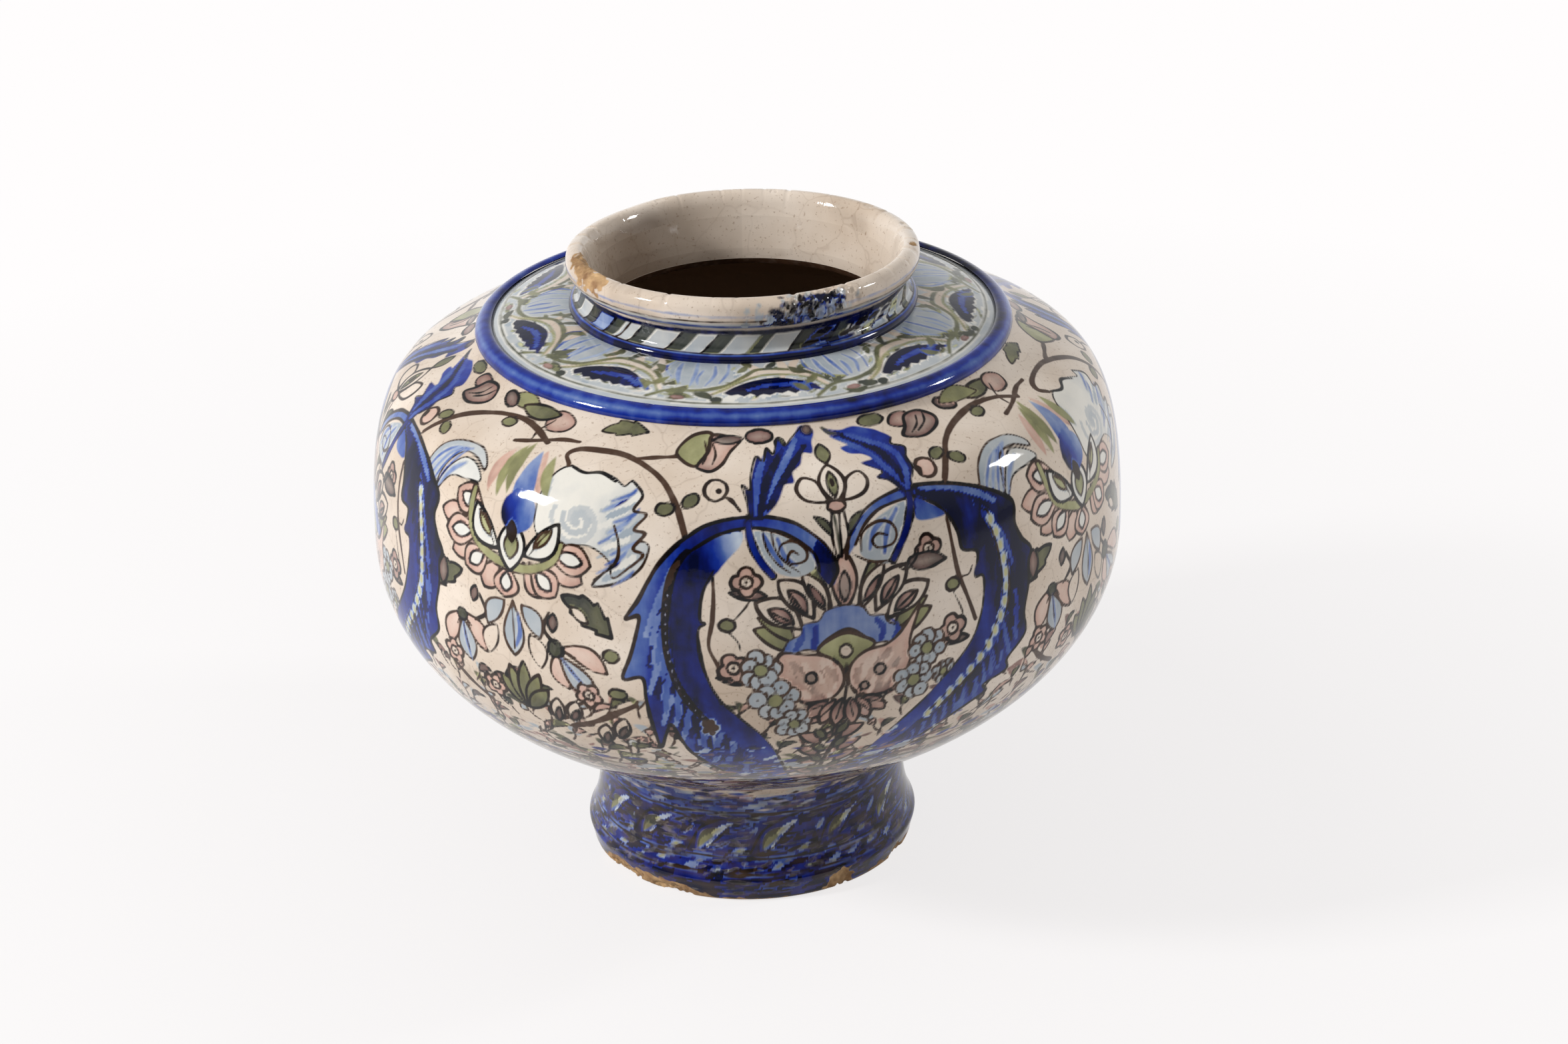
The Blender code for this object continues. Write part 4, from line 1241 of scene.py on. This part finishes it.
class Wall:
    """A closed turned wall: rows of (radius, height) in loop order, carried round the axis in columns."""

    def __init__(self, *stretches):
        """The stretches follow one another up the outer face, down the inner face; their ends are creases."""
        self.rows = np.vstack(stretches)
        ends = np.cumsum([len(stretch) for stretch in stretches])
        self.creases = np.concatenate([ends - 1, ends - [len(stretch) for stretch in stretches]])
        self.turn = np.radians(-180.0 + 360.0 * np.arange(COLUMNS) / COLUMNS)[None, :]
        shape = (len(self.rows), COLUMNS)
        self.depth = np.zeros(shape)
        self.wear = np.zeros(COLUMNS)
        self.marks = {name: np.full(shape, -FAR) for name in PAINTS + ("bare",)}
        self.marks["tone"] = np.full(shape, 0.5)
        self.marks["soot"] = np.zeros(shape)
        # Brown marks: stains, streaks darker towards the belly's bottom, and painted shade in the mouth and
        # throat
        self.marks["stain"] = np.zeros(shape)

    def take(self, canvas, first, count, at=0):
        """Copies painted rows of a canvas to this wall's rows."""
        for name, coat in canvas.paint.items():
            self.marks[name][at : at + count] = coat[first : first + count]
        self.marks["tone"][at : at + count] = canvas.tone[first : first + count]

    def chip(self, angle, arc, wide, high, depth, seed, bare, last=None):
        """A chip: an oval with a ragged edge, sunk into the rows up to the last; the body may show bare."""
        part = slice(last)
        rows = self.rows[part]
        run = lengths(rows)[:, None]
        away = ((np.degrees(self.turn) - angle + 180.0) % 360.0 - 180.0) * np.radians(1.0) * rows[:, :1]
        oval = 1.0 - np.hypot(away / wide, (run - arc) / high) + 0.3 * ripple(away, run, 4.0, seed)
        sunk = np.clip(oval / 0.35, 0.0, 1.0)
        rough = 1.0 + 0.35 * ripple(away, run, 2.4, seed + 1)
        self.depth[part] = np.maximum(self.depth[part], depth * rough * sunk * sunk * (3 - 2 * sunk))
        if bare:
            shown = np.clip(oval * min(wide, high), -FAR, FAR)
            self.marks["bare"][part] = np.maximum(self.marks["bare"][part], shown)

    def places(self):
        """Points at (radius sin, -radius cos, height): sunk at chips, uneven, leaning, lifted at the lip."""
        rows = self.rows
        loop = np.vstack([rows[-1:], rows, rows[:1]])
        slope = loop[2:] - loop[:-2]
        slope /= np.maximum(np.hypot(slope[:, :1], slope[:, 1:]), 1e-9)
        radius = rows[:, :1] - slope[:, 1:] * self.depth
        height = rows[:, 1:] + slope[:, :1] * self.depth
        oval = OVAL * np.sin(2 * self.turn + 1.1)
        radius = radius * (1.0 + oval + THREE_SIDED * np.sin(3 * self.turn + 0.03 * height))
        lift = np.clip((rows[:, 1:] - LIP_BASE[1]) / (CROWN[1] - LIP_BASE[1]), 0.0, 1.0)
        height = height + lift * (LIP_LIFT + LIP_RISE * np.cos(self.turn) - self.wear)
        across = radius * np.sin(self.turn) + LEAN * (height - LEAN_PIVOT)
        return np.stack([across, -radius * np.cos(self.turn), height + 0 * radius], axis=2) * MM

    def bake_map(self, levels, strips):
        """Corners of the baking map: the wall laid out as stacked strips, each a share of the turn."""
        rows = self.rows
        along = np.concatenate([lengths(rows), [lengths(rows)[-1] + np.hypot(*(rows[0] - rows[-1]))]])
        along = MAP_END + (1.0 - 2.0 * MAP_END) * along / along[levels]
        share = COLUMNS // strips
        strip, column = np.divmod(np.arange(COLUMNS), share)
        edges = column[None, :, None] + np.array([0, 1, 1, 0])
        rise = np.stack([along[:-1], along[:-1], along[1:], along[1:]], axis=1)[:levels]
        corners = np.zeros((levels, COLUMNS, 4, 2))
        corners[..., 0] = MAP_SIDE + (1.0 - 2.0 * MAP_SIDE) * edges / share
        corners[..., 1] = (strip[None, :, None] + rise[:, None, :]) / strips
        return corners

    def mesh(self, name, strips):
        """Quads between the rows and columns of places, with map, marks and creases, and fans at the axis."""
        places = self.places()
        rows = len(self.rows)
        ring = np.arange(COLUMNS)
        after = (ring + 1) % COLUMNS
        poles = self.rows[0, 0] == 0.0
        lower = np.arange(rows - 1 if poles else rows)[:, None]
        below, above = lower * COLUMNS, (lower + 1) % rows * COLUMNS
        quads = np.stack([below + ring, below + after, above + after, above + ring], axis=2)
        mesh = bpy.data.meshes.new(name)
        mesh.vertices.add(rows * COLUMNS)
        mesh.vertices.foreach_set("co", places.reshape(-1))
        count = len(lower) * COLUMNS
        mesh.loops.add(4 * count)
        mesh.loops.foreach_set("vertex_index", quads.reshape(-1).astype(np.int32))
        mesh.polygons.add(count)
        mesh.polygons.foreach_set("loop_start", np.arange(0, 4 * count, 4, dtype=np.int32))
        mesh.update(calc_edges=True)
        corners = self.bake_map(len(lower), strips)
        mesh.uv_layers.new(name="OFBake").data.foreach_set("uv", corners.reshape(-1))
        for mark, value in self.marks.items():
            layer = mesh.attributes.new(mark, "FLOAT", "POINT")
            layer.data.foreach_set("value", value.reshape(-1).astype(np.float32))
        mesh.polygons.foreach_set("use_smooth", np.ones(count, bool))
        ends = np.empty(2 * len(mesh.edges), np.int32)
        mesh.edges.foreach_get("vertices", ends)
        level = ends.reshape(-1, 2) // COLUMNS
        sharp = (level[:, 0] == level[:, 1]) & np.isin(level[:, 0], self.creases)
        mesh.attributes.new("sharp_edge", "BOOLEAN", "EDGE").data.foreach_set("value", sharp)
        if poles:
            weld_poles(mesh)
        mesh.validate()
        return mesh


def weld_poles(mesh):
    """Joins the points of the first row, and of the last, into one each: both poles are closed fans."""
    work = bmesh.new()
    work.from_mesh(mesh)
    points = list(work.verts)
    bmesh.ops.remove_doubles(work, verts=points[:COLUMNS] + points[-COLUMNS:], dist=POLE_WELD)
    work.to_mesh(mesh)
    work.free()


class Node:
    """A shader socket that takes part in Python arithmetic: each operator adds a Math node."""

    def __init__(self, shop, socket):
        """The socket is an output of a node in the shop's tree."""
        self.shop, self.socket = shop, socket

    def __add__(self, other):
        return self.shop.math("ADD", self, other)

    def __sub__(self, other):
        return self.shop.math("SUBTRACT", self, other)

    def __rsub__(self, other):
        return self.shop.math("SUBTRACT", other, self)

    def __mul__(self, other):
        return self.shop.math("MULTIPLY", self, other)

    def clamp(self, low=0.0, high=1.0):
        """The value held between two limits."""
        return self.shop.math("MINIMUM", self.shop.math("MAXIMUM", self, low), high)

    __radd__, __rmul__ = __add__, __mul__


class Shop:
    """The node tree of a material or a world, filled by expressions."""

    def __init__(self, owner):
        """The owner is a material or a world."""
        owner.use_nodes = True
        self.owner, self.tree = owner, owner.node_tree

    def socket(self, node, name):
        """An input of a node that the tree already has."""
        return self.tree.nodes[node].inputs[name]

    def node(self, kind, settings=None, output=0, **inputs):
        """Adds a node: its settings first, then values or links of its sockets by name or number."""
        made = self.tree.nodes.new(kind)
        for key, value in (settings or {}).items():
            if key == "stops":
                ramp = made.color_ramp.elements
                while len(ramp) < len(value):
                    ramp.new(0.5)
                for stop, (place, colour) in zip(ramp, value):
                    stop.position, stop.color = place, (*colour, 1.0)
            else:
                setattr(made, key, value)
        for key, value in inputs.items():
            self.put(made.inputs[int(key[1:])] if key[0] == "_" else made.inputs[key], value)
        return Node(self, made.outputs[output])

    def put(self, socket, value):
        """Links a node's output or sets a plain value on a socket."""
        if isinstance(value, Node):
            self.tree.links.new(value.socket, socket)
        else:
            socket.default_value = value

    def math(self, operation, first, second):
        """A Math node on two values."""
        return self.node("ShaderNodeMath", {"operation": operation}, _0=first, _1=second)

    def mix(self, factor, first, second):
        """Colour between two colours by a factor."""
        first, second = (value if isinstance(value, Node) else (*value, 1.0) for value in (first, second))
        return self.node("ShaderNodeMix", {"data_type": "RGBA"}, 2, _0=factor, _6=first, _7=second)

    def ramp(self, value, *stops):
        """A colour ramp: each stop is (place, colour)."""
        return self.node("ShaderNodeValToRGB", {"stops": stops}, Fac=value)

    def mark(self, name):
        """A mark painted on the wall's points."""
        return self.node("ShaderNodeAttribute", {"attribute_name": name}, 2)

    def noise(self, scale, detail=3.0, stretch=(1.0, 1.0, 1.0)):
        """Noise in the piece's own space, drawn out along an axis by a stretch below one."""
        where = self.node("ShaderNodeTexCoord", output=3)
        where = self.node("ShaderNodeVectorMath", {"operation": "MULTIPLY"}, _0=where, _1=stretch)
        return self.node("ShaderNodeTexNoise", Vector=where, Scale=scale, Detail=detail)

    def seen(self, mirrored):
        """One for rays that show the white surround: from the camera, through glass, off gloss by a share."""
        kinds = ("Camera", "Glossy", "Transmission")
        camera, gloss, glass = (self.node("ShaderNodeLightPath", output=f"Is {kind} Ray") for kind in kinds)
        return (camera + gloss * mirrored + glass).clamp()


def tint(red, green, blue):
    """A display colour out of 255 as scene-linear values."""
    parts = (value / 255.0 for value in (red, green, blue))
    return tuple(p / 12.92 if p <= 0.04045 else ((p + 0.055) / 1.055) ** 2.4 for p in parts)


def painted_glaze(name):
    """Crackled cream glaze over the painting, worn through to a sandy body where a wall is marked bare."""
    shop = Shop(bpy.data.materials.new(name))
    cloud, grain, fine = shop.noise(30.0, 4.0), shop.noise(210.0, 3.0), shop.noise(900.0, 2.0)
    streak, stain = shop.noise(150.0, 3.0, (1.0, 1.0, 0.22)), shop.noise(13.0, 5.0)
    where = shop.node("ShaderNodeTexCoord", output=3)
    swirl = shop.node("ShaderNodeTexNoise", output=1, Vector=where, Scale=60.0)
    bent = shop.node("ShaderNodeMix", {"data_type": "VECTOR"}, 1, _0=0.012, _4=where, _5=swirl)
    crackle = shop.node("ShaderNodeTexVoronoi", {"feature": "DISTANCE_TO_EDGE"}, Vector=bent, Scale=62.0)
    crack = (1.0 - crackle * 34.0).clamp()

    # The tone of the paint, streaked by the brush
    tone = (shop.mark("tone") + (cloud - 0.5) * 0.3 + (streak - 0.5) * 0.5 + (grain - 0.5) * 0.2).clamp()
    # The cream ground: clouded, stained, specked and crackled
    ground = shop.mix((cloud * 2.4 - 0.7).clamp(), tint(231, 218, 204), tint(205, 187, 168))
    ground = shop.mix((stain * 4.0 - 1.9).clamp() * 0.6, ground, tint(176, 152, 128))
    ground = shop.mix((fine * 9.0 - 5.6).clamp() * 0.55, ground, tint(140, 112, 88))
    ground = shop.mix(crack * (cloud * 2.0 - 0.55).clamp() * 0.3, ground, tint(120, 94, 74))

    def laid(under, paint, colour, strength, edge=1.3):
        """One paint over another colour, its edge a little blurred in the glaze."""
        inside = (shop.mark(paint) * edge + 0.55 + (grain - 0.5) * 0.9).clamp()
        return shop.mix(inside * strength, under, colour)

    def heart(paint, rate, least):
        """Strength of a paint that pools along its outline and thins towards its middle."""
        return (1.0 - shop.mark(paint) * rate).clamp(least, 0.95)

    # The paints, from their palest to their darkest tone, laid in their order
    blues = shop.ramp(
        tone, (0.0, tint(190, 200, 212)), (0.25, tint(138, 154, 188)), (0.5, tint(72, 98, 162)),
        (0.72, tint(18, 45, 140)), (0.88, tint(5, 20, 98)), (1.0, tint(2, 7, 42)),
    )
    olives = shop.ramp(
        tone, (0.0, tint(196, 194, 146)), (0.35, tint(140, 140, 94)), (0.7, tint(78, 80, 52)),
        (1.0, tint(14, 29, 23)),
    )
    pinks = shop.ramp(
        tone, (0.0, tint(226, 204, 190)), (0.4, tint(200, 160, 144)), (0.75, tint(124, 84, 78)),
        (1.0, tint(54, 32, 32)),
    )
    whites = shop.mix(tone, tint(146, 160, 172), tint(226, 223, 214))
    lines = shop.mix((tone * 1.7 - 0.15).clamp(), tint(70, 48, 34), tint(9, 7, 9))
    colour = laid(ground, "white", whites, 0.9)
    colour = laid(colour, "pink", pinks, heart("pink", 0.12, 0.62))
    colour = laid(colour, "olive", olives, heart("olive", 0.03, 0.93))
    colour = laid(colour, "blue", blues, 1.0)
    colour = laid(colour, "line", lines, (0.88 + grain * 0.24).clamp(), 2.4)

    # The bare body, the sooty inside, and brown marks: stains, streaks darker towards the belly's bottom, and
    # painted shade in the mouth and throat
    worn = (shop.mark("bare") * 2.0 + 0.5 + (fine - 0.5) * 1.6 + (grain - 0.5) * 1.2).clamp()
    body = shop.mix((grain * 2.4 - 0.7).clamp(), tint(204, 168, 122), tint(136, 100, 66))
    colour = shop.mix(worn, colour, body)
    colour = shop.mix(shop.mark("soot"), colour, tint(156, 132, 110))
    colour = shop.mix(shop.mark("stain"), colour, tint(92, 72, 54))
    shader = "Principled BSDF"
    shop.put(shop.socket(shader, "Base Color"), colour)
    shop.put(shop.socket(shader, "Specular IOR Level"), GLOSS)
    rough = 0.03 + cloud * 0.06 + worn * 0.6 + shop.mark("soot") * 0.6
    shop.put(shop.socket(shader, "Roughness"), rough.clamp())
    relief = cloud + grain * 0.3 + worn * fine * 1.4
    swell = shop.node("ShaderNodeBump", Strength=0.14, Distance=0.0012, Height=relief)
    shop.put(shop.socket(shader, "Normal"), swell)
    return shop.owner


def plateau(degrees, middle, half):
    """A flat-topped bump round the wall: e to minus the fourth power of the distance over the half-width."""
    return np.exp(-(((degrees - middle) / half) ** 4))


def build_foot(glaze):
    """The foot: its profile turned with an open inside, its standing edge worn bare in waves and chipped."""
    outer = even_rows(FOOT, ROW_SPACING)
    inner = [
        (47.0, FOOT_TOP[1]), (47.6, 43.0), (48.6, 28.0), (49.6, 12.0), (50.2, 4.0), (51.4, 0.6),
        (52.9, 0.0),
    ]
    wall = Wall(outer, inner)
    canvas = Canvas(outer)
    paint_foot(canvas)
    wall.take(canvas, 0, len(outer))
    run = canvas.arc[:, None]
    degrees = np.degrees(wall.turn)
    # Millimetres round the wall
    round_wall = 62.0 * wall.turn
    high, middle, half = BACK_WEAR
    broad = high * plateau(np.abs(degrees), middle, half)
    for high, middle, half in FOOT_WEAR:
        broad += high * plateau(degrees, middle, half)
    waves = 0.9 * ripple(round_wall, 0.0 * run, 26.0, 5) + 0.7 * ripple(round_wall, run, 6.0, 6)
    wall.marks["bare"][: len(outer)] = np.clip(1.6 + broad + waves - run, -FAR, FAR)
    stain = 0.15 + 0.2 * ripple(round_wall, 4.0 * run, 14.0, 33)
    wall.marks["stain"][: len(outer)] = np.clip(stain, 0.0, 0.5)
    wall.marks["bare"][len(outer) :] = FAR
    for chip in FOOT_CHIPS:
        wall.chip(*chip, last=len(outer))
    piece("foot", wall, 2, glaze, "foot_ring")


def shaded_side(turn):
    """Painted shade on the inside of the mouth: brown, deepest at the back left and fading out as a bell
    curve.
    """
    return 0.7 * np.exp(-(((np.degrees(turn) + 130.0) / 33.0) ** 2))


def bottom_darkening(run, turn):
    """Brown streaks that darken the belly's bottom: waves drawn out round the wall, faded evenly to their
    top.
    """
    streaks = 0.4 + 0.4 * ripple(75.0 * turn, 5.0 * run, 16.0, 31)
    return np.clip(streaks, 0.0, 0.75) * np.clip((DARKENING_TOP - run) / DARKENING_FADE, 0.0, 1.0)


def thinned(rows, count):
    """A few of the rows, evenly picked with both ends kept."""
    return rows[np.linspace(0, len(rows) - 1, count).astype(int)]


def build_belly(glaze):
    """Both bowls: their outlines turned with an inner wall, each cut in two rings.

    One canvas takes the painting, so that the ornament runs over the widest line.
    """
    bottom = np.linspace(0, BOTTOM_ARC, BOTTOM_ROWS)
    above = np.linspace(BOTTOM_ARC, lengths(LOWER_BELLY)[-1], LOWER_ROWS)[1:]
    low = resample(LOWER_BELLY, np.concatenate([bottom, above]))
    high = resample(UPPER_BELLY, np.linspace(0, lengths(UPPER_BELLY)[-1], UPPER_ROWS))
    canvas = Canvas(np.vstack([low, high]))
    paint_belly(canvas)
    low_inside, high_inside = inset(low, WALL), inset(high, WALL)
    low_inside[-1] = high_inside[0] = (WIDEST[0] - WALL, WIDEST[1])
    base = np.array([(0.0, FOOT_TOP[1]), (20.0, FOOT_TOP[1]), (40.0, FOOT_TOP[1])])
    floor = np.array([(30.0, FOOT_TOP[1] + FLOOR_WALL), (0.0, FOOT_TOP[1] + FLOOR_WALL)])
    cut = len(low) // 2 - CUT_DROP
    bowl = Wall(base, low[: cut + 1], np.vstack([thinned(low_inside[6 : cut + 1][::-1], 8), floor]))
    bowl.take(canvas, 0, cut + 1, len(base))
    bowl.marks["bare"][: len(base)] = FAR
    # Brown streaks, darker towards the belly's bottom
    bowl.marks["stain"][len(base) : len(base) + cut + 1] = bottom_darkening(canvas.arc[: cut + 1, None], bowl.turn)
    bowl.marks["soot"][len(base) + cut + 1 :] = 1.0
    piece("lower_belly", bowl, 5, glaze, "lower_bowl")
    rings = (
        ("lower_belly_top", low, low_inside, cut, len(low), 0, "lower_bowl"),
        ("upper_belly", high, high_inside, 0, len(high) // 2 + 1, len(low), "upper_bowl"),
        ("upper_belly_top", high, high_inside, len(high) // 2, len(high), len(low), "upper_bowl"),
    )
    for name, rows, inside, first, last, start, node in rings:
        ring = Wall(rows[first:last], thinned(inside[first:last][::-1], 6))
        ring.take(canvas, start + first, last - first)
        arcs = canvas.arc[start + first : start + last, None]
        # Brown streaks, darker towards the belly's bottom
        ring.marks["stain"][: last - first] = bottom_darkening(arcs, ring.turn)
        ring.marks["soot"][last - first :] = 1.0
        piece(name, ring, 5, glaze, node)


def build_shoulder(glaze):
    """The dome: its outline turned round the open throat, with painted shade in the throat: a dark ring under
    its edge.
    """
    outer = even_rows(DOME, ROW_SPACING)
    seat = [(THROAT, NECK_BASE[1]), (THROAT - 0.2, 216.6), (THROAT, 215.1), (THROAT, 214.4), (54.2, 212.3)]
    under = resample(inset(DOME, DOME_WALL)[::-1], np.linspace(0, lengths(DOME)[-1], 7))
    wall = Wall(outer, seat, under)
    canvas = Canvas(outer)
    paint_dome(canvas)
    wall.take(canvas, 0, len(outer))
    throat, dark = len(outer), len(outer) + 3
    # Painted shade in the throat: a brown darkening, deepest at the back left
    wall.marks["stain"][throat:dark] = shaded_side(wall.turn) + 0.12
    # A dark ring painted under the throat's edge as painted shade
    wall.marks["line"][dark : dark + 2] = FAR
    wall.marks["tone"][dark : dark + 2] = 0.3
    wall.marks["soot"][dark + 2 :] = 1.0
    piece("shoulder", wall, 5, glaze, "shoulder_dome")


def build_rib(glaze):
    """The raised moulding: a half-round laid along the slope of the shoulder at the seam."""
    turn = np.linspace(0.0, math.pi, 21)
    along = np.array([math.cos(RIB_SLOPE), math.sin(RIB_SLOPE)])
    out = np.array([math.sin(RIB_SLOPE), -math.cos(RIB_SLOPE)])
    rise = RIB_PROUD + RIB_HEIGHT * np.sin(turn)[:, None]
    outer = np.array(SEAM) - RIB_HALF * np.cos(turn)[:, None] * along + rise * out
    wall = Wall(outer)
    canvas = Canvas(outer)
    band(canvas, "blue", -2.0, 20.0, 0.9)
    wall.take(canvas, 0, len(outer))
    # The blue is paler in a band along the crest: a painted highlight
    middle = np.exp(-((turn - 1.35) ** 2) / 0.12)[:, None]
    wall.marks["tone"] = 0.82 - 0.28 * middle + 0.12 * ripple(97.0 * wall.turn, 0 * middle, 60.0, 9)
    piece("shoulder_rib", wall, 10, glaze, "shoulder_moulding")


def build_neck(glaze):
    """The neck: its profile with the bead turned as a short sleeve, with painted shade on the inside."""
    outer = even_rows(NECK, FINE_SPACING)
    inner = [(55.2, LIP_BASE[1]), (54.4, 227.7), (53.7, 223.7), (53.2, 220.7), (THROAT, NECK_BASE[1])]
    wall = Wall(outer, inner)
    canvas = Canvas(outer)
    paint_neck(canvas)
    wall.take(canvas, 0, len(outer))
    # Painted shade on the inner wall, deepest at the back left
    wall.marks["stain"][len(outer) :] = shaded_side(wall.turn) + 0.06
    piece("neck", wall, 5, glaze, "neck_collar")


def build_lip(glaze):
    """The lip: its rolled profile turned as a closed ring, chipped, blotched, with painted shade inside, worn
    down in places.
    """
    outer = even_rows(LIP, FINE_SPACING)
    wall = Wall(outer)
    canvas = Canvas(outer)
    paint_lip(canvas)
    wall.take(canvas, 0, len(outer))
    for chip in LIP_CHIPS:
        wall.chip(*chip)
    run = canvas.arc[:, None]
    # Millimetres round the wall
    round_wall = 61.0 * wall.turn
    # Brown blotches all round, and painted shade on the inner face, deepest at the back left
    blotch = 0.2 * np.clip(ripple(round_wall, 0.6 * run, 24.0, 70) - 0.1, 0.0, 1.0)
    inside = np.clip((run - 15.0) / 8.0, 0.0, 1.0)
    wall.marks["stain"] = np.clip(blotch + shaded_side(wall.turn) * inside, 0.0, 0.7)
    wall.wear = 0.9 * plateau(np.degrees(wall.turn[0]), -122.0, 24.0)
    wall.wear += 0.7 * np.clip(ripple(round_wall[0], 0.0, 7.0, 60) - 0.5, 0.0, 1.0)
    piece("lip", wall, 8, glaze, "rolled_lip")


def piece(name, wall, strips, glaze, node):
    """Puts a wall into the scene in place of its plain section."""
    shell = bpy.data.objects.new(name, wall.mesh(name, strips))
    shell.data.materials.append(glaze)
    bpy.context.scene.collection.objects.link(shell)
    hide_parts(node)
    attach(shell, "root")


def add_camera():
    """The photograph's camera: tilted down and rolled, framed off centre by a shift."""
    back = Vector((0.0, -math.cos(CAMERA_ELEVATION), math.sin(CAMERA_ELEVATION)))
    right = Vector((1.0, 0.0, 0.0))
    up = back.cross(right)
    level = math.cos(CAMERA_ROLL) * right + math.sin(CAMERA_ROLL) * up
    upright = math.cos(CAMERA_ROLL) * up - math.sin(CAMERA_ROLL) * right
    data = bpy.data.cameras.new("photo_camera")
    data.sensor_width = SENSOR_WIDTH
    data.lens = FOCAL_PIXELS * SENSOR_WIDTH / PHOTO_SIZE[0]
    data.shift_x = (0.5 * PHOTO_SIZE[0] - PHOTO_AXIS[0]) / PHOTO_SIZE[0]
    data.shift_y = (PHOTO_AXIS[1] - 0.5 * PHOTO_SIZE[1]) / PHOTO_SIZE[0]
    camera = bpy.data.objects.new("photo_camera", data)
    place = Matrix((level, upright, back)).transposed().to_4x4()
    place.translation = MM * (Vector((0.0, 0.0, CAMERA_TARGET)) + CAMERA_DISTANCE * back)
    camera.matrix_world = place
    bpy.context.scene.collection.objects.link(camera)
    bpy.context.scene.camera = camera


def add_lamp(name, place, size, power):
    """A soft square lamp aimed at the belly."""
    data = bpy.data.lights.new(name, "AREA")
    data.size, data.energy = size, power
    lamp = bpy.data.objects.new(name, data)
    lamp.location = place
    lamp.rotation_euler = (Vector(LAMP_AIM) - lamp.location).to_track_quat("-Z", "Y").to_euler()
    bpy.context.scene.collection.objects.link(lamp)


def add_room():
    """A room shown white to the camera and, at the back, to the gloss, but dimmer as light on the vase."""
    room = Shop(bpy.data.worlds.new("studio"))
    bpy.context.scene.world = room.owner
    way = room.node("ShaderNodeTexCoord", output="Generated")
    height = room.node("ShaderNodeSeparateXYZ", output="Z", Vector=way)
    back = room.node("ShaderNodeSeparateXYZ", output="Y", Vector=way) * ROOM_SLOPE + ROOM_MIDDLE
    back = back.clamp()
    shown, side, front = (
        room.ramp(height, (0.0, (level,) * 3), (HORIZON, (level,) * 3), (CEILING, (CEILING_LIGHT,) * 3))
        for level in (1.0, SIDE_LIGHT, FRONT_LIGHT)
    )
    sky = room.mix(room.seen(back), room.mix(back, front, side), shown)
    room.put(room.socket("Background", "Color"), sky)


def add_floor():
    """A pale floor that keeps the vase's shadow, mixed for the camera with a glow, and all glow far away."""
    bpy.ops.mesh.primitive_plane_add(size=FLOOR_SIDE)
    floor = bpy.context.object
    floor.name = "floor"
    shop = Shop(bpy.data.materials.new("pale_floor"))
    shop.put(shop.socket("Principled BSDF", "Base Color"), (*tint(228, 226, 225), 1.0))
    shop.put(shop.socket("Principled BSDF", "Roughness"), FLOOR_ROUGHNESS)
    plain = Node(shop, shop.tree.nodes["Principled BSDF"].outputs[0])
    glow = shop.node("ShaderNodeEmission", Color=(*tint(255, 253, 253), 1.0))
    where = shop.node("ShaderNodeTexCoord", output=3)
    away = shop.node("ShaderNodeVectorMath", {"operation": "LENGTH"}, "Value", _0=where)
    behind = shop.node("ShaderNodeSeparateXYZ", output="Y", Vector=where) * FLOOR_SLOPE + FLOOR_MIDDLE
    far = ((away - GLOW_START) * (1.0 / GLOW_REACH)).clamp()
    share = shop.seen(behind.clamp()) * (FLOOR_GLOW + (1.0 - FLOOR_GLOW) * far)
    shown = shop.node("ShaderNodeMixShader", Fac=share, _1=plain, _2=glow)
    shop.put(shop.socket("Material Output", "Surface"), shown)
    floor.data.materials.append(shop.owner)


def main():
    """Sets up camera, room, floor and lamps, then builds the pieces from the foot up."""
    add_camera()
    add_room()
    add_floor()
    add_lamp("key", *KEY_LAMP)
    add_lamp("fill", *FILL_LAMP)
    bpy.context.scene.view_settings.view_transform = "Standard"
    glaze = painted_glaze("painted_glaze")
    for build in (build_foot, build_belly, build_shoulder, build_rib, build_neck, build_lip):
        build(glaze)


main()
